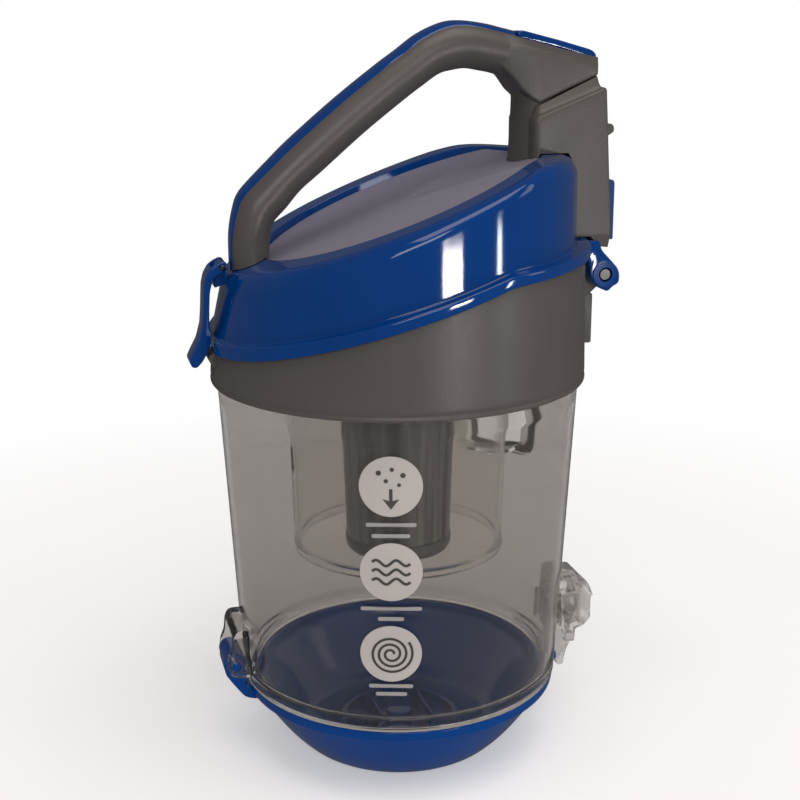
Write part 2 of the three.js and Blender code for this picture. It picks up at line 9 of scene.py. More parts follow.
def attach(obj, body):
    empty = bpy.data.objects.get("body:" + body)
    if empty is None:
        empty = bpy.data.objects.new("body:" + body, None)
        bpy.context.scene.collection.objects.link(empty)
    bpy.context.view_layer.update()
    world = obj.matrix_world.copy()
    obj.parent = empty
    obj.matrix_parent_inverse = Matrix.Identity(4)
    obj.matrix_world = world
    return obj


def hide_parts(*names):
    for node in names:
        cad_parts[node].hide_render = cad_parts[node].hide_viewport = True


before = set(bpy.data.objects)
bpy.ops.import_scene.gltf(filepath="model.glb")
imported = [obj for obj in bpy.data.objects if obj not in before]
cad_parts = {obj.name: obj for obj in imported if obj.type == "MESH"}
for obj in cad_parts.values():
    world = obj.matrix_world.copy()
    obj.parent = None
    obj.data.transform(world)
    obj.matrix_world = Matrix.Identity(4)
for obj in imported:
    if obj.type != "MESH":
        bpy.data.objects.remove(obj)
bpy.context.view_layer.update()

MM = 0.001
# Points this close are welded, and edges this short are dropped, in metres.
WELD = 1e-6
SLIVER = 1e-7
TURN = 2 * math.pi

# ---- dimensions, in mm ----

# Points in a ring of the outer parts and of the parts inside.
AROUND = 192
INNER = 144
# A rounded corner takes at most this share of the spans beside it, in rings and in outlines.
RING_SHARE = 0.48
OUTLINE_SHARE = 0.46
# Spans longer than this get a held ring this share of the way in from each end.
LONG_SPAN = 7.0
HELD_SHARE = 0.05
# Edges bent more than this many degrees are drawn sharp.
SHARP = 38.0
HANDLE_SHARP = 42
CUP = dict(z_foot=37.2, z_rim=180.0, z_neck=192.0, r_foot=74.8, r_rim=82.3, r_neck=80.6,
           wall=2.2)
# Pins run along Y: x, z, radius.
DOOR_PIN = (-81.2, 48.5, 2.2)
LATCH_PIN = (84.5, 54.0, 1.5)
LID_PIN = (93.5, 223.5, 3.0)
LEVER_PIN = (-79.4, 233.2, 1.2)
PIN_PLAY = 0.3
BORE_REACH = 30
# The lid's wall is shifted along X and drawn in beside the lever.
LID_SHIFT = -2.0
CROWN_SHIFT = -1.2
SHOULDER_PINCH = 4.6
CROWN_PINCH = 3.0
PORT = dict(azimuth=35.0, z=147.5, width=34.0, height=44.0, face=86)


# Heights of the lid's slanted edges at x.

def flange_z(x):
    return np.where(x < 27, 223.5 + 0.318 * x, 232.1 + 0.066 * (x - 27))


def flange_top_z(x):
    return flange_z(x) + 5.2 - 0.008 * x


def shoulder_z(x):
    return np.minimum(257 + 0.42 * x, 272.5)


def soft_min(a, b, k):
    return -k * np.log(np.exp(-a / k) + np.exp(-b / k))


def crown_z(x):
    return soft_min(260.2 + 0.385 * x, 278.4 + 0 * x, 1.2)


def inset_z(x):
    return np.minimum(255.5 + 0.384 * x, 275.5)


def offset(height, lift):
    return lambda x: height(x) + lift


# ---- mesh building ----

def ring(r, z, cx=0.0, n=AROUND, pinch=0.0):
    """One ring of a turned shape. z is a number or a function of x. pinch pulls in its -X side."""
    angle = np.arange(n) * TURN / n
    r = r - pinch * np.maximum(-np.cos(angle), 0) ** 3
    x = cx + r * np.cos(angle)
    y = r * np.sin(angle)
    height = z(x) if callable(z) else np.full(n, float(z))
    return np.stack([x, y, height], 1)


def rounded(rings, radii, steps, closed=False):
    """Rounds a stack of rings at each ring's corner, by one radius or one per ring."""
    rings = [np.asarray(r, float) for r in rings]
    count = len(rings)
    out = []
    for k, here in enumerate(rings):
        size = radii[k] if not np.isscalar(radii) else radii
        inside = closed or 0 < k < count - 1
        if not size or not inside:
            out.append(here)
            continue
        before, after = rings[k - 1], rings[(k + 1) % count]
        a = before - here
        b = after - here
        la = np.linalg.norm(a, axis=1, keepdims=True) + 1e-9
        lb = np.linalg.norm(b, axis=1, keepdims=True) + 1e-9
        start = here + a / la * np.minimum(size, la * RING_SHARE)
        end = here + b / lb * np.minimum(size, lb * RING_SHARE)
        for i in range(steps + 1):
            t = i / steps
            out.append((1 - t) ** 2 * start + 2 * t * (1 - t) * here + t * t * end)
    return held(out, closed)


def held(rings, closed):
    """Adds a ring near both ends of every long span, which keeps its middle flat in shading."""
    out = []
    for k, here in enumerate(rings):
        out.append(here)
        if k == len(rings) - 1 and not closed:
            break
        there = rings[(k + 1) % len(rings)]
        if np.linalg.norm(there - here, axis=1).max() > LONG_SPAN:
            out += [here + (there - here) * HELD_SHARE, there + (here - there) * HELD_SHARE]
    return out


def skin(rings, closed=False, caps=True):
    """Vertices and faces of a stack of rings with the same number of points."""
    n = len(rings[0])
    verts = np.concatenate(rings)
    faces = []
    pairs = len(rings) if closed else len(rings) - 1
    for k in range(pairs):
        a, b = k * n, ((k + 1) % len(rings)) * n
        for i in range(n):
            j = (i + 1) % n
            faces.append((a + i, a + j, b + j, b + i))
    if caps and not closed:
        faces.append(tuple(range(n))[::-1])
        last = (len(rings) - 1) * n
        faces.append(tuple(range(last, last + n)))
    return verts, faces


def add_object(name, data):
    obj = bpy.data.objects.new(name, data)
    bpy.context.scene.collection.objects.link(obj)
    return obj


def make_mesh(name, parts, sharp=SHARP):
    """A mesh object from (verts, faces) pairs in mm."""
    mesh = bpy.data.meshes.new(name)
    verts = []
    faces = []
    for part_verts, part_faces in parts:
        base = len(verts)
        verts.extend((np.asarray(part_verts) * MM).tolist())
        faces.extend(tuple(base + i for i in f) for f in part_faces)
    mesh.from_pydata(verts, [], faces)
    bm = bmesh.new()
    bm.from_mesh(mesh)
    bmesh.ops.remove_doubles(bm, verts=bm.verts, dist=WELD)
    bmesh.ops.dissolve_degenerate(bm, dist=SLIVER, edges=bm.edges)
    bmesh.ops.recalc_face_normals(bm, faces=bm.faces)
    bm.to_mesh(mesh)
    bm.free()
    finish_shading(mesh, sharp)
    return add_object(name, mesh)


def finish_shading(mesh, sharp):
    mesh.shade_smooth()
    mesh.set_sharp_from_angle(angle=math.radians(sharp))


def carve(obj, parts, sharp=SHARP, operation="DIFFERENCE"):
    """Cuts parts out of a piece all at once, or joins them to it."""
    tools = [make_mesh("tool", [part]) for part in parts]
    for tool in tools:
        mod = obj.modifiers.new("cut", "BOOLEAN")
        mod.operation = operation
        mod.solver = "EXACT"
        mod.object = tool
    depsgraph = bpy.context.evaluated_depsgraph_get()
    mesh = bpy.data.meshes.new_from_object(obj.evaluated_get(depsgraph))
    if not mesh.polygons:
        raise RuntimeError(f"nothing left of {obj.name}")
    obj.modifiers.clear()
    obj.data = mesh
    finish_shading(mesh, sharp)
    for tool in tools:
        bpy.data.objects.remove(tool)


def fuse(obj, parts, sharp=SHARP):
    """Joins parts to a piece one after the other."""
    for part in parts:
        carve(obj, [part], sharp, "UNION")


def dress(obj, material, body, nodes):
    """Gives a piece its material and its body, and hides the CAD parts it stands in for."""
    obj.data.materials.clear()
    obj.data.materials.append(material)
    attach(obj, body)
    if nodes:
        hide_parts(*nodes)


def turned(profile, radii, n=AROUND, steps=3):
    """A turned solid from (r, z) pairs, which close to a ring unless they start on the axis."""
    closed = profile[0][0] > 0
    rings = [ring(max(r, 0.01), z, n=n) for r, z in profile]
    return skin(rounded(rings, radii, steps, closed), closed)


def round_outline(points, radius, steps=4):
    """Rounds every corner of a closed 2-D outline."""
    points = [np.array(p, float) for p in points]
    radii = np.broadcast_to(radius, len(points))
    out = []
    for k, here in enumerate(points):
        before, after = points[k - 1], points[(k + 1) % len(points)]
        if radii[k] <= 0:
            out.append(here)
            continue
        la = np.linalg.norm(before - here)
        lb = np.linalg.norm(after - here)
        start = here + (before - here) / la * min(radii[k], la * OUTLINE_SHARE)
        end = here + (after - here) / lb * min(radii[k], lb * OUTLINE_SHARE)
        for i in range(steps + 1):
            t = i / steps
            out.append((1 - t) ** 2 * start + 2 * t * (1 - t) * here + t * t * end)
    return np.array(out)


def unit(vectors):
    return vectors / (np.linalg.norm(vectors, axis=-1, keepdims=True) + 1e-9)


def inset_outline(points, amount):
    """Moves each point of a closed outline inwards along its mean normal."""
    points = np.asarray(points, float)
    area = 0.5 * np.sum(points[:, 0] * np.roll(points[:, 1], -1)
                        - np.roll(points[:, 0], -1) * points[:, 1])
    ahead = unit(np.roll(points, -1, 0) - points)
    behind = unit(points - np.roll(points, 1, 0))
    tangent = unit(ahead + behind)
    inward = np.stack([-tangent[:, 1], tangent[:, 0]], 1) * (1 if area > 0 else -1)
    return points + inward * amount


def slab(outline, y0, y1, edge, radius):
    """An XZ outline given depth along Y, with rounded corners and rounded rims."""
    outline = round_outline(outline, np.maximum(radius, 2.2 * edge))
    following = np.roll(outline, -1, axis=0)
    if np.sum(outline[:, 0] * following[:, 1] - outline[:, 1] * following[:, 0]) < 0:
        outline = outline[::-1]
    levels = [(y0 + edge * (1 - math.cos(t)), edge * (1 - math.sin(t)))
              for t in np.linspace(0, math.pi / 2, 4)]
    levels += [(y1 - edge * (1 - math.cos(t)), edge * (1 - math.sin(t)))
               for t in np.linspace(math.pi / 2, 0, 4)]
    stack = []
    for y, inset in levels:
        flat = inset_outline(outline, inset)
        stack.append(np.stack([flat[:, 0], np.full(len(flat), y), flat[:, 1]], 1))
    return skin(stack)


def spun(part, degrees):
    """A part turned about Z."""
    verts, faces = part
    return np.asarray(verts) @ np.array(Matrix.Rotation(math.radians(degrees), 3, "Z")).T, faces


def ring_y(x, z, r, y, n):
    angle = np.arange(n) * TURN / n
    return np.stack([x + r * np.cos(angle), np.full(n, y), z + r * np.sin(angle)], 1)


def along_y(x, z, r, y0, y1, n=48, edge=0.3):
    """A round bar along Y with softened rims."""
    return skin([ring_y(x, z, r - edge, y0, n), ring_y(x, z, r, y0 + edge, n),
                 ring_y(x, z, r, y1 - edge, n), ring_y(x, z, r - edge, y1, n)])


def bore(pin, reach=BORE_REACH):
    """The hole for a pin."""
    x, z, r = pin
    return along_y(x, z, r + PIN_PLAY, -reach, reach)


def tube_y(x, z, r_out, r_in, y0, y1):
    """A short tube along Y with softened outer rims."""
    edge = 0.4
    profile = [(y0, r_in), (y0, r_out - edge), (y0 + edge, r_out), (y1 - edge, r_out),
               (y1, r_out - edge), (y1, r_in)]
    return skin([ring_y(x, z, r, y, 64) for y, r in profile], closed=True)


def wire(points, radius, n):
    """A round wire through points."""
    points = np.asarray(points, float)
    tangents = unit(np.gradient(points, axis=0))
    up = np.array([0.0, 0.0, 1.0]) if abs(tangents[0][2]) < 0.9 else np.array([1.0, 0.0, 0.0])
    angle = np.arange(n) * TURN / n
    rings = []
    for p, t in zip(points, tangents):
        side = unit(np.cross(t, up))
        up = np.cross(side, t)
        rings.append(p + radius * (np.outer(np.cos(angle), side) + np.outer(np.sin(angle), up)))
    return skin(rings)


def coil(start, end, radius, wire_r, turns):
    """A spring from start to end."""
    start, end = np.array(start, float), np.array(end, float)
    axis = unit(end - start)
    side = np.array([0.0, 1.0, 0.0])
    up = np.cross(axis, side)
    t = np.linspace(0, 1, int(turns * 24) + 1)
    length = np.linalg.norm(end - start) - 2 * wire_r
    pts = [start + axis * (wire_r + length * s)
           + radius * (side * math.cos(TURN * turns * s) + up * math.sin(TURN * turns * s))
           for s in t]
    return wire(pts, wire_r, 8)


# ---- materials ----

# Mean radius of the screen, in metres, for laying its holes out flat.
SCREEN_RADIUS = 0.026


def new_material(name):
    mat = bpy.data.materials.new(name)
    mat.use_nodes = True
    tree = mat.node_tree
    shader = tree.nodes["Principled BSDF"]
    return mat, tree, shader


def noise(tree, scale, detail, roughness=0.55, stretch=None):
    coords = tree.nodes.new("ShaderNodeTexCoord")
    node = tree.nodes.new("ShaderNodeTexNoise")
    node.inputs["Scale"].default_value = scale
    node.inputs["Detail"].default_value = detail
    node.inputs["Roughness"].default_value = roughness
    source = coords.outputs["Object"]
    if stretch:
        mapping = tree.nodes.new("ShaderNodeMapping")
        mapping.inputs["Scale"].default_value = stretch
        tree.links.new(source, mapping.inputs["Vector"])
        source = mapping.outputs["Vector"]
    tree.links.new(source, node.inputs["Vector"])
    return node.outputs["Fac"]


def ramp(tree, source, stops, socket=None):
    """A colour ramp from a source, with stops of (position, colour or grey)."""
    node = tree.nodes.new("ShaderNodeValToRGB")
    tree.links.new(source, node.inputs["Fac"])
    elements = node.color_ramp.elements
    while len(elements) < len(stops):
        elements.new(0.5)
    for element, (position, value) in zip(elements, stops):
        element.position = position
        element.color = (*value, 1) if not np.isscalar(value) else (value, value, value, 1)
    if socket is not None:
        tree.links.new(node.outputs["Color"], socket)
    return node.outputs["Color"]


def add_bump(tree, shader, height, strength, distance):
    node = tree.nodes.new("ShaderNodeBump")
    node.inputs["Strength"].default_value = strength
    node.inputs["Distance"].default_value = distance
    tree.links.new(height, node.inputs["Height"])
    tree.links.new(node.outputs["Normal"], shader.inputs["Normal"])


def mixed_height(tree, a, b, share):
    node = tree.nodes.new("ShaderNodeMix")
    node.data_type = "FLOAT"
    node.inputs["Factor"].default_value = share
    tree.links.new(a, node.inputs["A"])
    tree.links.new(b, node.inputs["B"])
    return node.outputs["Result"]


def colored(tree, kind, color, strength=None):
    """The shader output of a new node that has a Color."""
    node = tree.nodes.new(kind)
    node.inputs["Color"].default_value = (*color, 1)
    if strength is not None:
        node.inputs["Strength"].default_value = strength
    return node.outputs[0]


def mix_shaders(tree, share, first, second):
    node = tree.nodes.new("ShaderNodeMixShader")
    tree.links.new(share, node.inputs["Fac"])
    tree.links.new(first, node.inputs[1])
    tree.links.new(second, node.inputs[2])
    return node.outputs["Shader"]


def math_node(tree, operation, first, second):
    """A math node fed by a socket and by a second socket or a number."""
    node = tree.nodes.new("ShaderNodeMath")
    node.operation = operation
    tree.links.new(first, node.inputs[0])
    if isinstance(second, float):
        node.inputs[1].default_value = second
    else:
        tree.links.new(second, node.inputs[1])
    return node.outputs[0]


def plastic(name, dark, light, rough, grain, bump, coat=0.0):
    """Moulded plastic: slight colour drift, grain and scuffs in its gloss."""
    mat, tree, shader = new_material(name)
    drift = noise(tree, 14.0, 3.0)
    ramp(tree, drift, [(0.3, dark), (0.7, light)], shader.inputs["Base Color"])
    scuff = noise(tree, 60.0, 8.0, 0.7, (1.0, 1.0, 0.35))
    ramp(tree, scuff, [(0.35, rough[0]), (0.75, rough[1])], shader.inputs["Roughness"])
    fine = noise(tree, grain, 3.0, 0.6)
    broad = noise(tree, 45.0, 2.0)
    add_bump(tree, shader, mixed_height(tree, fine, broad, 0.3), bump, 0.0004)
    shader.inputs["Coat Weight"].default_value = coat
    shader.inputs["Coat Roughness"].default_value = 0.06
    return mat


def smoky(name, tint, lamp_tint, rough, ior, clear_share):
    """Clear smoky plastic, a little milky. Lamps shine through it."""
    mat, tree, shader = new_material(name)
    shader.inputs["Base Color"].default_value = (*tint, 1)
    shader.inputs["Transmission Weight"].default_value = clear_share
    shader.inputs["IOR"].default_value = ior
    haze = noise(tree, 26.0, 6.0, 0.65, (1.0, 1.0, 0.4))
    ramp(tree, haze, [(0.4, rough[0]), (0.8, rough[1])], shader.inputs["Roughness"])
    add_bump(tree, shader, noise(tree, 24.0, 1.0), 0.05, 0.0004)
    clear = colored(tree, "ShaderNodeBsdfTransparent", lamp_tint)
    path = tree.nodes.new("ShaderNodeLightPath")
    mix = mix_shaders(tree, path.outputs["Is Shadow Ray"], shader.outputs["BSDF"], clear)
    tree.links.new(mix, tree.nodes["Material Output"].inputs["Surface"])
    return mat


def metal(name, dark, light):
    """Drawn metal with a fine grain."""
    mat, tree, shader = new_material(name)
    grain = noise(tree, 160.0, 4.0, 0.6, (1.0, 0.1, 1.0))
    ramp(tree, grain, [(0.3, dark), (0.7, light)], shader.inputs["Base Color"])
    ramp(tree, grain, [(0.3, 0.22), (0.7, 0.4)], shader.inputs["Roughness"])
    shader.inputs["Metallic"].default_value = 1.0
    add_bump(tree, shader, grain, 0.2, 0.0002)
    return mat


def perforated(name):
    """Fine etched screen: rows of small holes in dull metal. The holes are real; their near-black
    is painted shade, standing in for the dark inside seen through them.
    """
    mat, tree, shader = new_material(name)
    coords = tree.nodes.new("ShaderNodeTexCoord")
    split = tree.nodes.new("ShaderNodeSeparateXYZ")
    tree.links.new(coords.outputs["Object"], split.inputs["Vector"])
    angle = math_node(tree, "ARCTAN2", split.outputs["Y"], split.outputs["X"])
    flat = tree.nodes.new("ShaderNodeCombineXYZ")
    tree.links.new(math_node(tree, "MULTIPLY", angle, SCREEN_RADIUS), flat.inputs["X"])
    tree.links.new(split.outputs["Z"], flat.inputs["Y"])
    cells = tree.nodes.new("ShaderNodeTexVoronoi")
    cells.voronoi_dimensions = "2D"
    cells.inputs["Scale"].default_value = 900.0
    cells.inputs["Randomness"].default_value = 0.12
    tree.links.new(flat.outputs["Vector"], cells.inputs["Vector"])
    hole = ramp(tree, cells.outputs["Distance"], [(0.22, 0.0), (0.34, 1.0)])
    shade = tree.nodes.new("ShaderNodeMix")
    shade.data_type = "RGBA"
    # The holes' near-black colour is painted shade: the dark inside of the screen seen through
    # them.
    shade.inputs["A"].default_value = (0.012, 0.012, 0.013, 1)
    streaks = noise(tree, 320.0, 2.0, 0.5, (1.0, 1.0, 0.02))
    ramp(tree, streaks, [(0.38, (0.08, 0.08, 0.083)), (0.64, (0.26, 0.26, 0.265))],
         shade.inputs["B"])
    tree.links.new(hole, shade.inputs["Factor"])
    tree.links.new(shade.outputs["Result"], shader.inputs["Base Color"])
    shader.inputs["Metallic"].default_value = 0.8
    shader.inputs["Roughness"].default_value = 0.34
    add_bump(tree, shader, hole, 0.6, 0.0003)
    return mat


def foam_material(name, dark, light, scale):
    """Porous filter material."""
    mat, tree, shader = new_material(name)
    coords = tree.nodes.new("ShaderNodeTexCoord")
    cells = tree.nodes.new("ShaderNodeTexVoronoi")
    cells.inputs["Scale"].default_value = scale
    tree.links.new(coords.outputs["Object"], cells.inputs["Vector"])
    ramp(tree, cells.outputs["Distance"], [(0.1, dark), (0.6, light)], shader.inputs["Base Color"])
    shader.inputs["Roughness"].default_value = 0.95
    add_bump(tree, shader, cells.outputs["Distance"], 0.8, 0.0006)
    return mat


BLUE = plastic("blue_gloss", (0.0003, 0.038, 0.195), (0.0005, 0.047, 0.23), (0.04, 0.1), 1500.0,
               0.03, coat=0.35)
GREY = plastic("grey_satin", (0.088, 0.08, 0.076), (0.1, 0.091, 0.086), (0.3, 0.44), 1300.0, 0.25)
PANEL = plastic("panel_grey", (0.25, 0.235, 0.31), (0.285, 0.27, 0.355), (0.3, 0.42), 1200.0,
                0.25)
DARK = plastic("dark_plastic", (0.016, 0.016, 0.017), (0.026, 0.026, 0.028), (0.4, 0.55), 900.0,
               0.25)
RUBBER = plastic("black_rubber", (0.012, 0.012, 0.012), (0.022, 0.022, 0.022), (0.6, 0.8), 700.0,
                 0.3)
BLUE_RUBBER = plastic("blue_rubber", (0.004, 0.032, 0.17), (0.006, 0.042, 0.21), (0.45, 0.6),
                      700.0, 0.3)
CLEAR = smoky("smoky_clear", (0.53, 0.51, 0.495), (0.86, 0.85, 0.84), (0.03, 0.07), 1.35, 0.985)
CLEAR_IN = smoky("smoky_inner", (0.9, 0.885, 0.87), (0.92, 0.91, 0.9), (0.03, 0.07), 1.38, 0.97)
CLEAR_PORT = smoky("smoky_port", (0.82, 0.81, 0.8), (0.9, 0.89, 0.88), (0.03, 0.07), 1.05, 0.985)
CLEAR_LATCH = smoky("clear_latch", (0.6, 0.585, 0.57), (0.8, 0.79, 0.78), (0.1, 0.2), 1.35, 0.9)
SCREEN = perforated("screen_metal")
STEEL = metal("steel", (0.32, 0.32, 0.33), (0.5, 0.5, 0.51))
DARK_STEEL = metal("dark_steel", (0.1, 0.1, 0.105), (0.17, 0.17, 0.175))
SILICONE = plastic("grey_silicone", (0.17, 0.165, 0.16), (0.22, 0.215, 0.21), (0.4, 0.55), 900.0,
                   0.25)
FOAM = foam_material("foam", (0.01, 0.01, 0.011), (0.06, 0.06, 0.064), 900.0)
FELT = foam_material("felt", (0.5, 0.49, 0.46), (0.72, 0.71, 0.68), 1600.0)
PRINT = plastic("white_print", (0.46, 0.43, 0.415), (0.52, 0.49, 0.47), (0.5, 0.7), 900.0, 0.1)
PRINT_SOFT = plastic("faint_print", (0.31, 0.3, 0.295), (0.36, 0.35, 0.345), (0.5, 0.7), 900.0, 0.1)
PRINT_DARK = plastic("dark_print", (0.05, 0.048, 0.048), (0.07, 0.068, 0.068), (0.5, 0.7), 900.0,
                     0.1)


# ---- dust cup ----

def cup_radius(z):
    """Outer radius of the cup's wall at height z."""
    share = (z - CUP["z_foot"]) / (CUP["z_rim"] - CUP["z_foot"])
    foot = CUP["r_foot"] + 0.25
    return foot + share * (CUP["r_rim"] - foot)


def cup_wall():
    foot, top = CUP["z_foot"], CUP["z_neck"]
    neck = CUP["r_neck"]
    inside = neck - CUP["wall"]
    profile = [
        (CUP["r_foot"], foot), (75.2, 44.0), (CUP["r_rim"], 179.7), (neck, 179.9), (neck, top),
        (inside, top), (inside, CUP["z_rim"]), (79.9, 172.0), (73.0, 44.5), (72.4, 43.4),
        (69.2, 41.6), (68.6, 40.6), (68.6, foot),
    ]
    return turned(profile, [0.5, 0.6, 0.6, 0.2, 0.3, 0.3, 0.6, 1, 0.6, 0.4, 0.5, 0.4, 0.4])


def port_prism(grow, x0, x1, corner=7.0):
    """The inlet's rounded rectangle, grown and run out along its direction."""
    edge = 0.3
    w, h = (PORT["width"] + grow) / 2, (PORT["height"] + grow) / 2
    outline = round_outline([(-w, -h), (w, -h), (w, h), (-w, h)], corner, 8)
    stack = []
    for x, inset in ((x0, edge), (x0 + edge, 0), (x1 - edge, 0), (x1, edge)):
        flat = inset_outline(outline, inset)
        stack.append(np.stack([np.full(len(flat), x), flat[:, 0], flat[:, 1] + PORT["z"]], 1))
    return spun(skin(stack), PORT["azimuth"])


def door_lugs():
    ear = [(-73.4, 42.6), (-79.5, 42.4), (-83.4, 43.6), (-85.4, 47), (-85, 52), (-83, 56.4),
           (-82.4, 63.4), (-80.4, 66.4), (-74.2, 66.4)]
    hood = [(-82.4, 61.4), (-82.2, 64), (-80.4, 66.4), (-75.2, 66.4), (-74.9, 61.4)]
    return [slab(ear, 10.1, 14.1, 0.5, 2.0), slab(ear, -14.1, -10.1, 0.5, 2.0),
            slab(hood, -12, 12, 0.4, 1.2)]


def latch_bracket():
    x, z = LATCH_PIN[:2]
    ear = [(73.4, z - 8), (x + 1.6, z - 4), (x + 3.4, z), (x + 1.6, z + 4), (74, z + 8)]
    return [slab(ear, 5.9, 8.5, 0.4, 1.6), slab(ear, -8.5, -5.9, 0.4, 1.6)]


def build_cup():
    cup = make_mesh("cup_shell", [cup_wall()])
    fuse(cup, door_lugs() + latch_bracket())
    carve(cup, [bore(DOOR_PIN), bore(LATCH_PIN), port_prism(0.6, 60, 100)])
    dress(cup, CLEAR, "cup", ["dust_cup"])

    face = PORT["face"]
    port = make_mesh("inlet_duct", [port_prism(0, 66, face, 6.5)])
    fuse(port, [port_prism(7, face - 2.5, face)])
    carve(port, [port_prism(-4, 50, 95, 5.0)])
    dress(port, CLEAR_PORT, "cup", ["inlet_port"])
    gasket = make_mesh("inlet_gasket", [port_prism(6, face + 0.3, face + 1.8)])
    carve(gasket, [port_prism(-2, 50, 95, 5.5)])
    dress(gasket, SILICONE, "cup", ["inlet_seal"])


# ---- printed marks ----

DISC_RADIUS = 13.2
FILM_THICK = 0.06
# How far the discs and bars, and the drawings on the discs, stand off the cup.
FILM_LIFT = 0.08
MARK_LIFT = 0.2
# Height and azimuth of the discs.
DISCS = ((152.0, -107.1), (113.8, -107.2), (75.7, -107.5))
# Plain caption bars below the discs: height, azimuth, width.
BARS = ((135.0, -107.1, 21.0), (130.1, -107.2, 16.0), (96.7, -107.3, 26.0), (92.2, -107.4, 11.0),
        (60.1, -107.6, 19.0), (56.4, -107.5, 13.5))


def on_cup(points, z, azimuth, lift):
    """Wraps flat (across, up) points onto the cup's outer wall."""
    out = []
    for across, up in points:
        r = cup_radius(z + up) + lift
        angle = math.radians(azimuth) + across / r
        out.append((r * math.cos(angle), r * math.sin(angle), z + up))
    return np.array(out)


def film(outline, z, azimuth, lift):
    """A thin printed patch on the cup, from a star-shaped flat outline."""
    outline = np.asarray(outline, float)
    middle = outline.mean(0)
    shares = np.linspace(0.02, 1, 6)
    rings = [on_cup(middle + (outline - middle) * k, z, azimuth, lift) for k in shares]
    rings += [on_cup(middle + (outline - middle) * k, z, azimuth, lift + FILM_THICK)
              for k in shares[::-1]]
    return skin(rings)


def circle(r, n=72, x=0.0, y=0.0):
    t = np.arange(n) * TURN / n
    return np.column_stack([x + r * np.cos(t), y + r * np.sin(t)])


def band(points, width, z, azimuth, lift):
    """A thin printed line on the cup."""
    points = np.asarray(points, float)
    ahead = unit(np.gradient(points, axis=0))
    side = np.stack([-ahead[:, 1], ahead[:, 0]], 1) * width / 2
    edges = [(points + side, lift), (points + side, lift + FILM_THICK),
             (points - side, lift + FILM_THICK), (points - side, lift)]
    rows = [on_cup(flat, z, azimuth, height) for flat, height in edges]
    return skin([np.array([row[k] for row in rows]) for k in range(len(points))])


def generic_marks():
    """Plain drawings: falling dots and an arrow, three waves, and a spiral."""
    (z1, a1), (z2, a2), (z3, a3) = DISCS
    marks = [film(circle(r, 24, x, y), z1, a1, MARK_LIFT) for x, y, r in (
        (-5, 6, 1.1), (0.5, 7.5, 0.9), (5, 5, 1.1), (-2, 2.5, 0.9), (3.4, 0.8, 0.8))]
    marks.append(band([(0, -1), (0, -4), (0, -7)], 1.4, z1, a1, MARK_LIFT))
    marks.append(film([(-3.4, -5.4), (0, -10), (3.4, -5.4), (0, -6.4)], z1, a1, MARK_LIFT))
    for up in (4.2, 0.0, -4.2):
        wave = [(x, up + 1.3 * math.sin(x * 0.75)) for x in np.linspace(-8, 8, 40)]
        marks.append(band(wave, 1.2, z2, a2, MARK_LIFT))
    spiral = [((1.2 + 0.42 * t) * math.cos(t), (1.2 + 0.42 * t) * math.sin(t))
              for t in np.linspace(0, 6.2 * math.pi, 150)]
    marks.append(band(spiral, 1.1, z3, a3, MARK_LIFT))
    return marks


def build_marks():
    discs = [film(circle(DISC_RADIUS), z, azimuth, FILM_LIFT) for z, azimuth in DISCS]
    dress(make_mesh("print_discs", discs, 60), PRINT, "cup", [])
    bars = []
    for z, azimuth, width in BARS:
        w = width / 2
        outline = round_outline([(-w, -0.9), (w, -0.9), (w, 0.9), (-w, 0.9)], 0.8, 5)
        bars.append(film(outline, z, azimuth, FILM_LIFT))
    dress(make_mesh("print_bars", bars, 60), PRINT_SOFT, "cup", [])
    dress(make_mesh("print_marks", generic_marks(), 60), PRINT_DARK, "cup", [])


# ---- cyclone ----

def build_cyclone():
    tube = make_mesh("cyclone_shell", [turned([
        (49.4, 98), (49.4, 101), (48.9, 102), (51.2, 193.6), (54.2, 193.6), (54.2, 196.6),
        (49.4, 196.6), (47.1, 102), (46.5, 101), (46.5, 98),
    ], 0.4, INNER)])
    slot = slab([(-60, 111), (-40, 111), (-40, 148), (-60, 148)], -4, 4, 0.05, 0.5)
    step = slab([(-60, 136), (-40, 136), (-40, 148), (-60, 148)], -8, 4, 0.05, 0.5)
    carve(tube, [spun(slot, -8), spun(step, -8)])
    dress(tube, CLEAR_IN, "cup", ["cyclone_tube"])

    screen = make_mesh("screen_tube", [turned([
        (24.4, 103.6), (27.0, 194.6), (29.0, 194.6), (29.0, 196.6), (25.8, 196.6), (23.2, 103.6),
    ], 0.2, 128)])
    dress(screen, SCREEN, "cup", ["mesh_screen"])
    cap = make_mesh("screen_end", [turned([
        (0, 95.3), (20.0, 95.3), (23.6, 96.3), (24.9, 99.3), (25.0, 102.9), (24.3, 103.3),
        (0, 103.3),
    ], 1.6, 128)])
    dress(cap, DARK, "cup", ["screen_cap"])
    bar = slab([(24.2, 103.7), (25.2, 103.7), (27.7, 193), (26.7, 193)], -1.3, 1.3, 0.1, 0.1)
    ribs = [spun(bar, 45 + 90 * k) for k in range(4)]
    dress(make_mesh("screen_ribs", ribs), DARK, "cup", [])

    plate = make_mesh("separator_disc", [turned([
        (20, 196.9), (78.4, 196.9), (78.4, 199.4), (23, 199.4), (23, 201.6), (20, 201.6),
    ], 0.4, INNER)])
    dress(plate, GREY, "cup", ["separator_plate"])
    seal = make_mesh("separator_gasket", [turned([
        (76.4, 195.3), (78.4, 195.3), (78.4, 196.6), (76.4, 196.6)], 0.4, INNER)])
    dress(seal, RUBBER, "cup", ["plate_seal"])


def pad(r, z0, z1, radius):
    return turned([(0, z0), (r, z0), (r, z1), (0, z1)], radius, INNER)


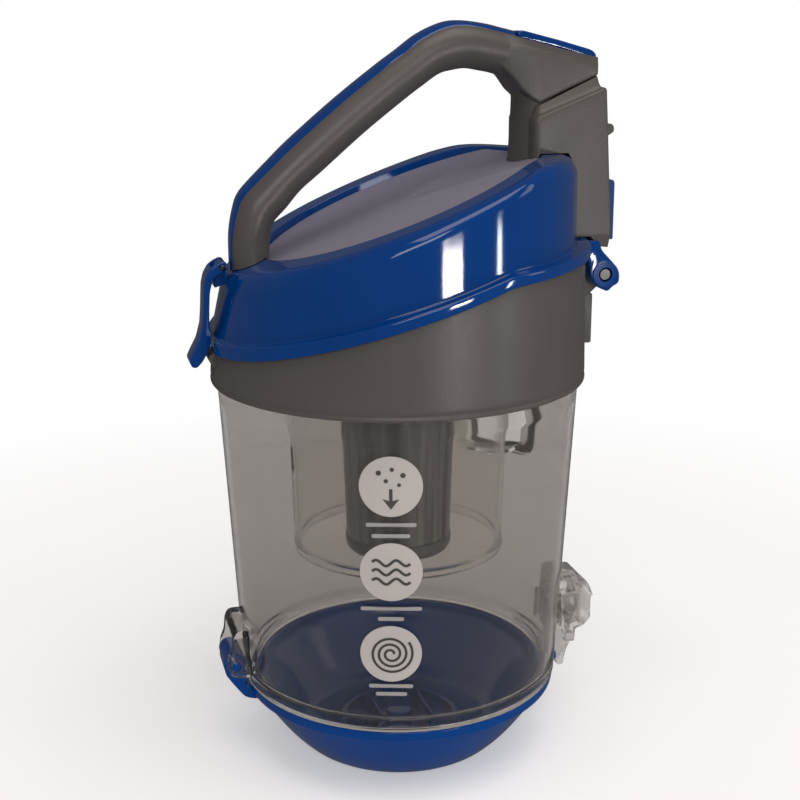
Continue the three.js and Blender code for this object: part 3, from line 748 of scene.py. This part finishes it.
def build_filters():
    tray = make_mesh("filter_basket", [turned([
        (24, 199.7), (66, 199.7), (66, 217), (64, 217), (64, 201.7), (24, 201.7)], 0.5, INNER)])
    dress(tray, DARK, "cup", ["filter_tray"])
    foam = make_mesh("foam_pad", [pad(63.4, 202, 211.4, 1.2)])
    dress(foam, FOAM, "cup", ["foam_filter"])
    felt = make_mesh("felt_pad", [pad(63.4, 211.8, 216, 0.9)])
    dress(felt, FELT, "cup", ["felt_filter"])


# ---- bottom door ----

def build_door():
    bowl = turned([
        (0, 0), (46.5, 0), (57, 10.5), (69.5, 28.5), (70.6, 30.6), (73.6, 31.6), (74.2, 33.4),
        (74.2, 36.6), (72.7, 36.6), (72.7, 34.1), (69.3, 34.1), (69.3, 36.6), (67.4, 36.6),
        (66.8, 31.8), (54.8, 13), (45.6, 3), (0, 3),
    ], [0, 5, 9, 4, 1.5, 1.5, 1.5, 0.5, 0.3, 0.2, 0.2, 0.3, 0.5, 3, 9, 5, 0], steps=6)
    door = make_mesh("door_bowl", [bowl])
    x, z, r = DOOR_PIN
    arm = slab([
        (x - 5, z - 1), (x - 4.6, 43), (-82, 37.2), (-77, 30.4), (-71, 28.6), (-69.5, 30.8),
        (-71, 33.2), (-73.2, 33.6), (-73.4, 36.4), (-76.4, 36.4), (-76.4, z - 2),
    ], -9.7, 9.7, 0.8, 2.2)
    ledge = slab([(71, 31.2), (76, 29), (78.6, 29), (78.6, 33.4), (73, 33.4)], -9, 9, 0.5, 1.2)
    adds = [arm, along_y(x, z, 5, -9.7, 9.7, edge=0.6), ledge,
            turned([(26, 2.6), (30, 2.6), (30, 6), (28.6, 7), (26, 7)], 0.6, 96),
            turned([(0, 2.6), (7, 2.6), (6, 8.4), (0, 8.4)], 0.8, 48)]
    for middle in (-12, 12):
        fin = [(middle - 1.2, 2.6), (middle + 1.2, 2.6), (middle + 0.9, 13), (middle - 0.9, 13)]
        adds.append(slab(fin, -20, 20, 0.8, 0.5))
    fuse(door, adds)
    carve(door, [bore(DOOR_PIN)])
    dress(door, BLUE, "door", ["bottom_door"])
    seal = make_mesh("door_gasket", [turned([
        (69.6, 34.4), (72.4, 34.4), (72.4, 36.9), (69.6, 36.9)], 0.8)])
    dress(seal, RUBBER, "door", ["door_seal"])
    pin = make_mesh("door_pin", [along_y(x, z, r, -14.3, 14.3, edge=0.5)])
    dress(pin, BLUE, "cup", ["door_hinge_pin"])


# ---- door latch ----

def build_door_latch():
    x, z, r = LATCH_PIN
    outline = [
        (81.6, 71.6), (91.8, 71.2), (93.4, 68.8), (95.6, 63.2), (94.4, 62.2), (94.4, 51.4),
        (90.8, 47.4), (86.6, 46.2), (86.6, 42.6), (86, 37.6), (84.2, 33.6), (83.4, 30.2),
        (82.6, 25.4), (79.4, 25.4), (79.4, 28.6), (80.8, 31), (81.8, 36), (81.8, 44), (80.6, 48),
        (80.6, 62),
    ]
    latch = make_mesh("latch_body", [slab(outline, -13, 13, 0.5, 1.1)])
    tools = [slab([(76, 60), (90.8, 60), (90.8, 68.4), (76, 68.4)], -4, 4, 0.3, 0.8)]
    narrow = [(76, 10), (100, 10), (100, 40), (76, 40)]
    slot = [(76, 43), (90, 43), (90, 64), (76, 64)]
    tools += [slab(narrow, -22, -8, 0.2, 1.0), slab(slot, -8.9, -5.5, 0.2, 0.8),
              slab(narrow, 8, 22, 0.2, 1.0), slab(slot, 5.5, 8.9, 0.2, 0.8)]
    carve(latch, tools + [bore(LATCH_PIN, 12.6)])
    dress(latch, CLEAR_LATCH, "door_latch", ["door_latch"])
    pin = make_mesh("latch_axle", [along_y(x, z, r, -12.3, 12.3, 32)])
    dress(pin, STEEL, "cup", ["door_latch_pin"])
    spring = make_mesh("latch_coil", [coil((77, 0, 64.2), (90.4, 0, 64.2), 3, 0.5, 5)])
    dress(spring, STEEL, "cup", ["door_latch_spring"])


# ---- collar ----

def build_collar():
    top = offset(flange_z, -0.3)
    rings = [ring(83.0, 180.2), ring(85.1, 180.2), ring(85.3, 181.4), ring(84.7, 182.2),
             ring(85.1, 184.0), ring(83.9, top), ring(81, top), ring(81, 195), ring(76, 195),
             ring(76, 192.4), ring(81, 192.4), ring(81, 180.2)]
    radii = [0.2, 0.5, 0.5, 0.4, 1.0, 0.5, 0.5, 0.3, 0.4, 0.4, 0.3, 0.4]
    collar = make_mesh("collar_band", [skin(rounded(rings, radii, 4, True), True)])
    x, z, r = LID_PIN
    lug = slab([
        (82, 214.5), (83.4, 211.5), (88.8, 212.4), (93.8, 216.8), (x + 5, z - 3), (x + 6, z + 1),
        (x + 3.5, z + 5.2), (x - 1.5, z + 6), (x - 6, z + 4), (82, 226),
    ], -9.6, 9.6, 0.5, 1.6)
    rib = slab([(82.6, 189.8), (91.6, 189.8), (91.6, 213.4), (82.6, 213.4)], -9, 9, 0.5, 0.8)
    bead = slab([(-86.9, 192.4), (-85, 189.4), (-82.6, 189.4), (-82.6, 196), (-85, 196),
                 (-86.9, 194.4)], -8, 8, 0.3, 0.4)
    fuse(collar, [lug, rib, bead])
    carve(collar, [bore(LID_PIN)])
    dress(collar, GREY, "cup", ["collar"])
    pin = make_mesh("lid_pin", [along_y(x, z, r, -18.2, 18.2, edge=0.6)])
    dress(pin, DARK_STEEL, "cup", ["lid_hinge_pin"])


# ---- lid ----

def lid_outer(grow):
    """Rings of the lid's outside, from the flange's foot to its crown."""
    c = LID_SHIFT
    return [
        ring(86.4 + grow, offset(flange_z, -grow)), ring(86.4 + grow, offset(flange_top_z, grow)),
        ring(81.7 + grow, offset(flange_top_z, 0.3 + grow), c),
        ring(81.3 + grow, offset(shoulder_z, grow), c, pinch=SHOULDER_PINCH),
        ring(77.0 + grow, offset(crown_z, grow), CROWN_SHIFT, pinch=CROWN_PINCH),
    ]


def build_lid():
    c = LID_SHIFT
    inner = [
        ring(0.01, offset(inset_z, -2.6)), ring(60, offset(inset_z, -2.6)),
        ring(73.5, offset(crown_z, -3.4), CROWN_SHIFT, pinch=CROWN_PINCH),
        ring(78.3, offset(shoulder_z, -1.6), c, pinch=SHOULDER_PINCH),
        ring(78.7, flange_z, c), ring(81.5, flange_z), ring(81.5, offset(flange_z, 1.8)),
        ring(83.5, offset(flange_z, 1.8)), ring(83.5, flange_z),
    ]
    outer = lid_outer(0) + [ring(62.5, crown_z, 1), ring(61.5, inset_z, 1),
                            ring(0.01, inset_z, 1)]
    radii = [0, 2, 3, 2, 0.5, 0.4, 0.2, 0.2, 0.3, 0.8, 1.2, 0.8, 2.2, 3.5, 0.8, 0.6, 0]
    lid = make_mesh("lid_shell", [skin(rounded(inner + outer, radii, 5))])
    arm = [
        (80.4, 238), (80.4, 240.6), (84, 240.6), (84.6, 239.2), (90.6, 239.2), (91.4, 235),
        (99.8, 226.2), (100.9, 222.9), (100.6, 219.2), (97.2, 217.5), (95.3, 215.3),
        (91.2, 217.2), (87.7, 219.9), (86.2, 223.2), (86.1, 226.9), (84.8, 230.2), (84.4, 238),
    ]
    lug = slab([(-83, 224), (-82.2, 234), (-79.4, 236), (-77, 234), (-77, 226)], -4.2, 4.2, 0.3,
               1.0)
    x, z, r = LID_PIN
    hole = r + PIN_PLAY
    fuse(lid, [slab(arm, 10, 18, 0.6, 1.6), slab(arm, -18, -10, 0.6, 1.6), lug,
               tube_y(x, z, 6.2, hole, -18.6, -17.4), tube_y(x, z, 6.2, hole, 17.4, 18.6)])
    notch_top = float(flange_top_z(np.array(-86.0))) + 1.4
    notch = slab([(-92, 190), (-84.4, 190), (-84.4, notch_top), (-92, notch_top)], -13, 13, 0.2,
                 0.5)
    carve(lid, [notch, bore(LID_PIN), bore(LEVER_PIN)])
    dress(lid, BLUE, "lid", ["lid"])

    seal_rings = [ring(81.8, flange_z), ring(83.2, flange_z), ring(83.2, offset(flange_z, 1.5)),
                  ring(81.8, offset(flange_z, 1.5))]
    seal = make_mesh("lid_gasket", [skin(rounded(seal_rings, 0.4, 3, True), True)])
    dress(seal, RUBBER, "lid", ["lid_seal"])

    panel = make_mesh("inset_plate", [skin(rounded([
        ring(0.01, offset(inset_z, 0.3), 1), ring(61, offset(inset_z, 0.3), 1),
        ring(61, offset(inset_z, 1.6), 1), ring(0.01, offset(inset_z, 1.6), 1),
    ], [0, 0.2, 0.6, 0], 4))])
    front_foot = along_handle(smooth_stations(HANDLE_EDGES[:4]), grown_grip_section)
    nose_foot = along_handle(smooth_stations(NOSE_EDGES[2:]), grown_grip_section)
    level = [tower_ring(lambda x, z=z: z + 0 * x, 18, -0.35) for z in (240.0, 300.0)]
    carve(panel, [front_foot, nose_foot, skin(level)])
    dress(panel, PANEL, "lid", ["lid_inset_panel"])


def lid_envelope():
    """The space the lid takes up, down to well below its flange."""
    grow = 0.3
    rings = [ring(0.01, 150), ring(86.4 + grow, 150)] + lid_outer(grow)
    rings += [ring(62.5 - grow, offset(crown_z, grow), 1),
              ring(61.5 - grow, offset(inset_z, grow), 1), ring(0.01, offset(inset_z, grow), 1)]
    return skin(rings)


def build_lid_latch():
    x, z, r = LEVER_PIN
    outline = [
        (x + 2.2, z - 1), (x + 2.4, z + 1.4), (x + 0.8, z + 2.9), (-81.6, 235), (-84.6, 232.8),
        (-86.6, 229.2), (-87.6, 225), (-88.3, 214), (-88.9, 207.5), (-90.8, 201), (-93.6, 195.8),
        (-95.2, 192.6), (-94.4, 190), (-92.2, 189.6), (-89.6, 192.2), (-87.2, 196.4),
        (-85.8, 199.6), (-85, 204.6), (-86, 207.6), (-85.8, 214), (-85.2, 222.6), (-84, 227.2),
        (-82.4, 229.6), (x - 0.2, z - 2.6),
    ]
    lever = make_mesh("lever", [slab(outline, -7, 7, 0.5, 1.1)])
    fork = slab([(-84, 220), (-74, 220), (-74, 240), (-84, 240)], -4.6, 4.6, 0.02, 0.3)
    carve(lever, [fork, bore(LEVER_PIN)])
    dress(lever, BLUE, "lid_latch", ["lid_latch"])
    pin = make_mesh("lever_pin", [along_y(x, z, r, -7.4, 7.4, 32)])
    dress(pin, DARK_STEEL, "lid", ["lid_latch_pin"])


# ---- handle ----

# Stations along the handle: outer edge, inner edge, half width of the trim strip.
HANDLE_EDGES = np.array([
    (-75, 222, -58.4, 222, 5), (-75.2, 238, -58.2, 237, 5), (-74.8, 248.4, -57.1, 247, 5.8),
    (-72.8, 258.1, -55.6, 251.4, 6.6), (-70.7, 263.4, -53.8, 253.6, 7),
    (-66.9, 268, -50, 257.4, 7.4), (-57.7, 276.9, -43.4, 264.8, 7.8),
    (-47.5, 286.4, -34.1, 272.4, 8), (-27.6, 302.8, -14.9, 288.5, 8), (-9.2, 316.6, 3, 302.1, 8),
    (-0.5, 322.6, 11.2, 307.9, 8), (9.6, 329.7, 18.7, 312.8, 8), (20.4, 334.3, 24.9, 314.4, 8),
    (29, 335.1, 31, 315.1, 8), (39.5, 333.8, 37.5, 314.1, 8), (47.4, 332, 43.1, 313, 7.8),
    (52.5, 330.8, 47.8, 311.4, 7.6),
], float)
# The same bar going on down the front of the tower.
NOSE_EDGES = np.array([
    (60, 327, 50.8, 309.6, 7.5), (67, 321, 52.8, 306.8, 7.5), (71.5, 312, 53.9, 302.6, 7.5),
    (72.4, 300, 53.9, 297.4, 7.5), (71.8, 285, 53.3, 284.6, 7.5), (71.2, 268, 52.7, 268, 7.5),
    (70.6, 256, 52, 256, 7.5),
], float)
GRIP_HALF = 12.0
# Exponent of the bar's oval; 2 would be an ellipse.
OVAL = 2.15


def smooth_stations(edges):
    """Catmull-Rom points through the handle's stations."""
    per = 6
    padded = np.vstack([2 * edges[0] - edges[1], edges, 2 * edges[-1] - edges[-2]])
    out = []
    for k in range(1, len(padded) - 2):
        p0, p1, p2, p3 = padded[k - 1:k + 3]
        for i in range(per):
            t = i / per
            out.append(0.5 * (2 * p1 + (p2 - p0) * t + (2 * p0 - 5 * p1 + 4 * p2 - p3) * t * t
                              + (3 * p1 - p0 - 3 * p2 + p3) * t ** 3))
    out.append(padded[-2])
    return np.array(out)


def along_handle(stations, section):
    """Carries a section of (across, inward) points along the stations."""
    rings = []
    for xo, zo, xi, zi, trim in stations:
        depth = math.hypot(xo - xi, zo - zi)
        dx, dz = (xi - xo) / depth, (zi - zo) / depth
        rings.append(np.array([(xo + dx * d, y, zo + dz * d) for y, d in section(trim, depth)]))
    return skin(rings)


def crown_drop(y, depth):
    """How far the oval bar has fallen away from its crest at width y."""
    half = depth / 2
    return half - half * (1 - (abs(y) / GRIP_HALF) ** OVAL) ** (1 / OVAL)


def grip_section(trim, depth, grow=0.0):
    """The bar's oval section."""
    half = depth / 2
    points = []
    for t in np.arange(72) * TURN / 72:
        c, s = math.cos(t), math.sin(t)
        points.append(((GRIP_HALF + grow) * math.copysign(abs(c) ** (2 / OVAL), c),
                       half + (half + grow) * math.copysign(abs(s) ** (2 / OVAL), s)))
    return points


def grown_grip_section(trim, depth):
    return grip_section(trim, depth, 0.35)


def strip_section(trim, depth, grow, rise, floor):
    """Crowned strip that follows the bar's crest."""
    w = trim + grow
    ys = np.linspace(-w, w, 25)
    top = [(y, crown_drop(y, depth) - rise) for y in ys]
    soft = min(0.5, w * 0.1)
    edge_drop = crown_drop(w, depth) - rise
    side = w - soft * 0.35
    top[0] = (-w, edge_drop + soft)
    top[-1] = (w, edge_drop + soft)
    top.insert(1, (-side, edge_drop + soft * 0.3))
    top.insert(-1, (side, edge_drop + soft * 0.3))
    return top + [(w, edge_drop + floor), (-w, edge_drop + floor)]


def block_stack():
    """Wedge that joins the bar to the tower and carries the button."""
    rows = [
        (41, 318.5, 322.5, 329.6, 9.6), (46, 314.8, 323.4, 330.0, 11.4),
        (50, 310.6, 324.2, 329.2, 12.7), (54, 305.6, 324.3, 328.2, 13.4),
        (58, 302.2, 323.5, 327.2, 13.8), (61.6, 300.1, 322.7, 326.3, 14),
        (75, 306.1, 319.6, 322.9, 14), (88.4, 311.7, 316.3, 319.5, 14),
    ]
    rings = []
    for x, zb, zt, zr, w in rows:
        flat = round_outline([(-w, zb), (w, zb), (w, zt), (8.6, zr), (-8.6, zr), (-w, zt)],
                             [1.6, 1.6, 1.0, 0.8, 0.8, 1.0], 5)
        rings.append(np.column_stack([np.full(len(flat), x), flat[:, 0], flat[:, 1]]))
    last = rings[-1]
    overhang = np.clip((14 - np.abs(last[:, 1])) / 6, 0, 1) * 2.2
    overhang *= np.clip((last[:, 2] - 311.7) / 5, 0, 1)
    last[:, 0] += overhang
    inner = last + (np.array([89.0, 0, 315.5]) - last) * 0.05
    inner[:, 0] = last[:, 0] + 0.35
    return skin(rounded(rings + [inner], [0] * 7 + [0.8, 0], 3))


def rod_hole():
    return slab([(80.4, 300), (85.6, 300), (85.6, 325), (80.4, 325)], -4.6, 4.6, 0.1, 0.2)


def build_handle():
    path = smooth_stations(np.vstack([HANDLE_EDGES, NOSE_EDGES]))
    grip = make_mesh("grip_shell", [along_handle(path, grip_section)])
    fuse(grip, [block_stack()], HANDLE_SHARP)
    strip = smooth_stations(HANDLE_EDGES)
    recess = along_handle(strip, lambda t, d: strip_section(t, d, 0.4, 2.0, 1.6))
    well = slab([(50.6, 327.3), (52.7, 326.8), (52.7, 324.5), (73.5, 319.5), (92, 313.7),
                 (92, 340), (50.6, 340)], -7.6, 7.6, 0.1, 0.2)
    carve(grip, [recess, well, rod_hole(), lid_envelope()], HANDLE_SHARP)
    dress(grip, GREY, "lid", ["handle_grip"])
    trim = make_mesh("trim_strip", [
        along_handle(strip, lambda t, d: strip_section(t, d, 0.0, 0.35, 1.4))])
    carve(trim, [lid_envelope()], 45)
    dress(trim, BLUE, "lid", ["handle_trim"])


# ---- tower ----

def tower_foot(x):
    return 249 - 0.14 * x


def tower_crease(x):
    return np.maximum(tower_foot(x) + 1.2, 238.6 + 0.21 * (x - 79.3))


def tower_top(x):
    return 293.3 + 0.385 * (x - 57)


def tower_crest(x):
    return 297.5 + 0.452 * (x - 57.5)


def tower_ring(height, half, inset, front=57.8, back=96.5):
    """A rounded rectangle at a slanting height; its back leans in towards the top."""
    f, b, w = front + inset, back - inset, half - inset
    flat = round_outline([(f, -w), (b, -w), (b, w), (f, w)], [3.2, 1.8, 1.8, 3.2], 8)
    lean = flat[:, 0].copy()
    rear = np.clip((flat[:, 0] - 75) / 20, 0, 1)
    for _ in range(4):
        lean = flat[:, 0] - rear * 0.0675 * (height(lean) - 236)
    return np.column_stack([lean, flat[:, 1], height(lean)])


def tower_stack(inset, drops):
    """The tower's rings, drawn in and lowered."""
    return [
        tower_ring(offset(tower_foot, -drops[0]), 16.6, inset, 59.0, 95.4),
        tower_ring(offset(tower_crease, -drops[1]), 18, inset),
        tower_ring(offset(tower_top, -drops[2]), 18, inset),
        tower_ring(offset(offset(tower_top, 0.9), -drops[3]), 15.8, inset, 59.0, 94.0),
        tower_ring(offset(tower_crest, -drops[4]), 14, inset, 60.0, 93.2),
    ]


def outlet_hole():
    return slab([(85, 243), (110, 243), (110, 262), (85, 262)], -11, 11, 0.1, 0.2)


def build_tower():
    rings = rounded(tower_stack(0, [0, 0, 0, 0, 0]), [0, 1.2, 1.6, 2.2, 0], 5)
    tower = make_mesh("tower_shell", [skin(rings)])
    catch_slot = slab([(85, 284.3), (110, 284.3), (110, 290.8), (85, 290.8)], -7.4, 7.4, 0.1, 0.3)
    arm_gap = [(80.1, 225), (99, 225), (99, 227.6), (85.9, 241.2), (80.1, 241.2)]
    carve(tower, [skin(tower_stack(2.4, [6, 0, 1.2, 1.8, 2.4])), lid_envelope(), outlet_hole(),
                  catch_slot, rod_hole(), slab(arm_gap, -19, -9.7, 0.05, 0.2),
                  slab(arm_gap, 9.7, 19, 0.05, 0.2)], HANDLE_SHARP)
    dress(tower, GREY, "lid", ["tower_housing"])
    gasket = make_mesh("outlet_frame", [slab([
        (96.2, 239), (98, 239), (98, 264.6), (97.4, 265.8), (94.9, 266.4)], -15, 15, 0.3, 0.2)])
    carve(gasket, [outlet_hole()])
    dress(gasket, BLUE_RUBBER, "lid", ["outlet_gasket"])


def build_release():
    button = make_mesh("button_cap", [slab([
        (53.1, 327.9), (53.1, 330.6), (55.2, 331.2), (73.5, 326.7), (88.4, 322.6), (90.6, 320.6),
        (90.2, 317.8), (88, 319), (73.5, 323.2)], -7.2, 7.2, 0.8, 0.8)])
    dress(button, BLUE, "button", ["release_button"])
    rod = make_mesh("press_rod", [slab([(85, 287), (85, 319.5), (81, 320.6), (81, 289.67)], -4, 4,
                                       0.4, 0.4)])
    dress(rod, DARK, "button", ["release_rod"])
    spring = make_mesh("button_coil", [coil((66, 0, 312.3), (66, 0, 324.6), 3.4, 0.5, 5)])
    dress(spring, STEEL, "lid", ["release_spring"])
    hook = make_mesh("catch_hook", [slab([
        (70, 284.9), (97.6, 284.9), (100.3, 286.6), (100.3, 288.8), (99.3, 290.2), (70, 290.2)],
        -7, 7, 0.4, 0.5)])
    window = [(88.95, 284), (91, 284), (91, 291.5), (77.7, 291.5)]
    carve(hook, [slab(window, -4.4, 4.4, 0.02, 0.3)])
    dress(hook, GREY, "catch", ["body_catch"])
    spring = make_mesh("catch_coil", [coil((60.9, 0, 287.6), (69.7, 0, 287.6), 2.2, 0.4, 4)])
    dress(spring, STEEL, "lid", ["catch_spring"])


# ---- scene ----

STAGE_RADII = (1.0, 200.0, 500.0, 900.0)
STAGE_POINTS = 96
DIFFUSE_SKY, GLOSSY_SKY = 0.38, 0.09
AIM = (0, 0, 0.17)
# Name, place, target, size, power and colour of the lamps, in metres and watts.
LAMPS = (
    ("overhead", (0.1, -0.5, 1.5), AIM, (1.2, 1.0), 8, (1.0, 0.9, 0.85)),
    ("front", (-0.25, -1.5, 0.75), AIM, (0.9, 0.5), 5, (1.0, 1.0, 1.0)),
    ("side", (1.3, -0.5, 0.6), AIM, (0.3, 0.9), 1.2, (1.0, 0.93, 0.88)),
    ("window", (0.49, -1.37, 0.03), (0, -0.08, 0.247), (0.3, 0.08), 2.4, (1.0, 0.95, 0.92)),
    ("strip", (1.11, -0.93, 0.02), (0.02, -0.08, 0.245), (0.07, 0.15), 0.7, (0.9, 1.0, 0.97)),
)
CAMERA = dict(place=(-0.1547, -0.5773, 0.3306), heading=15.0, yaw=0.0019, pitch=0.268,
              roll=-0.0048, lens=60.31, sensor=36.0)


def build_stage():
    """A round sheet of white paper that fades out into the pale background."""
    rings = [ring(r, 0.0, n=STAGE_POINTS) for r in STAGE_RADII]
    verts, faces = skin(rings, caps=False)
    faces.append(tuple(range(STAGE_POINTS))[::-1])
    mesh = bpy.data.meshes.new("floor")
    mesh.from_pydata((verts * MM).tolist(), [], faces)
    mesh.flip_normals()
    floor = add_object("floor", mesh)
    mat, tree, shader = new_material("floor_paper")
    ramp(tree, noise(tree, 6.0, 3.0), [(0.3, 0.86), (0.7, 0.89)], shader.inputs["Base Color"])
    shader.inputs["Roughness"].default_value = 0.9
    shader.inputs["Specular IOR Level"].default_value = 0.1
    shader.inputs["Emission Color"].default_value = (1, 1, 1, 1)
    shader.inputs["Emission Strength"].default_value = 0.32
    coords = tree.nodes.new("ShaderNodeTexCoord")
    far = tree.nodes.new("ShaderNodeVectorMath")
    far.operation = "LENGTH"
    tree.links.new(coords.outputs["Object"], far.inputs[0])
    fade = ramp(tree, far.outputs["Value"], [(0.16, 0.0), (0.6, 1.0)])
    clear = tree.nodes.new("ShaderNodeBsdfTransparent").outputs["BSDF"]
    tree.links.new(mix_shaders(tree, fade, shader.outputs["BSDF"], clear),
                   tree.nodes["Material Output"].inputs["Surface"])
    mesh.materials.append(mat)
    floor.visible_glossy = False


def area_light(name, place, target, size, power, color):
    data = bpy.data.lights.new(name, "AREA")
    data.shape = "RECTANGLE"
    data.size, data.size_y = size
    data.energy = power
    data.color = color
    light = add_object(name, data)
    light.location = place
    direction = Vector(target) - Vector(place)
    light.rotation_euler = direction.to_track_quat("-Z", "Y").to_euler()


def build_lights():
    """Lamps and a sky that is white where it is seen and dim where it lights the piece."""
    world = bpy.data.worlds.new("studio")
    bpy.context.scene.world = world
    world.use_nodes = True
    tree = world.node_tree
    dim = tree.nodes["Background"]
    dim.inputs["Color"].default_value = (1.0, 0.97, 0.95, 1)
    dim.inputs["Strength"].default_value = DIFFUSE_SKY
    white = colored(tree, "ShaderNodeBackground", (1, 1, 1), 1.0)
    dark = colored(tree, "ShaderNodeBackground", (1.0, 0.96, 0.94), GLOSSY_SKY)
    path = tree.nodes.new("ShaderNodeLightPath").outputs
    seen = math_node(tree, "MAXIMUM", path["Is Camera Ray"], path["Is Transmission Ray"])
    gloss = mix_shaders(tree, path["Is Glossy Ray"], dim.outputs["Background"], dark)
    tree.links.new(mix_shaders(tree, seen, gloss, white),
                   tree.nodes["World Output"].inputs["Surface"])
    for lamp in LAMPS:
        area_light(*lamp)


def build_camera():
    pitch, roll = CAMERA["pitch"], CAMERA["roll"]
    bearing = math.radians(CAMERA["heading"]) + CAMERA["yaw"]
    forward = Vector((math.sin(bearing) * math.cos(pitch), math.cos(bearing) * math.cos(pitch),
                      -math.sin(pitch)))
    right = forward.cross(Vector((0, 0, 1))).normalized()
    up = right.cross(forward)
    spun_right = right * math.cos(roll) + up * math.sin(roll)
    spun_up = up * math.cos(roll) - right * math.sin(roll)
    data = bpy.data.cameras.new("camera")
    data.lens = CAMERA["lens"]
    data.sensor_width = CAMERA["sensor"]
    camera = add_object("camera", data)
    rotation = Matrix((spun_right, spun_up, -forward)).transposed()
    camera.matrix_world = Matrix.Translation(Vector(CAMERA["place"])) @ rotation.to_4x4()
    bpy.context.scene.camera = camera


build_camera()
build_cup()
build_marks()
build_cyclone()
build_filters()
build_door()
build_door_latch()
build_collar()
build_lid()
build_lid_latch()
build_handle()
build_tower()
build_release()
build_stage()
build_lights()
bpy.context.scene.view_settings.view_transform = "Standard"
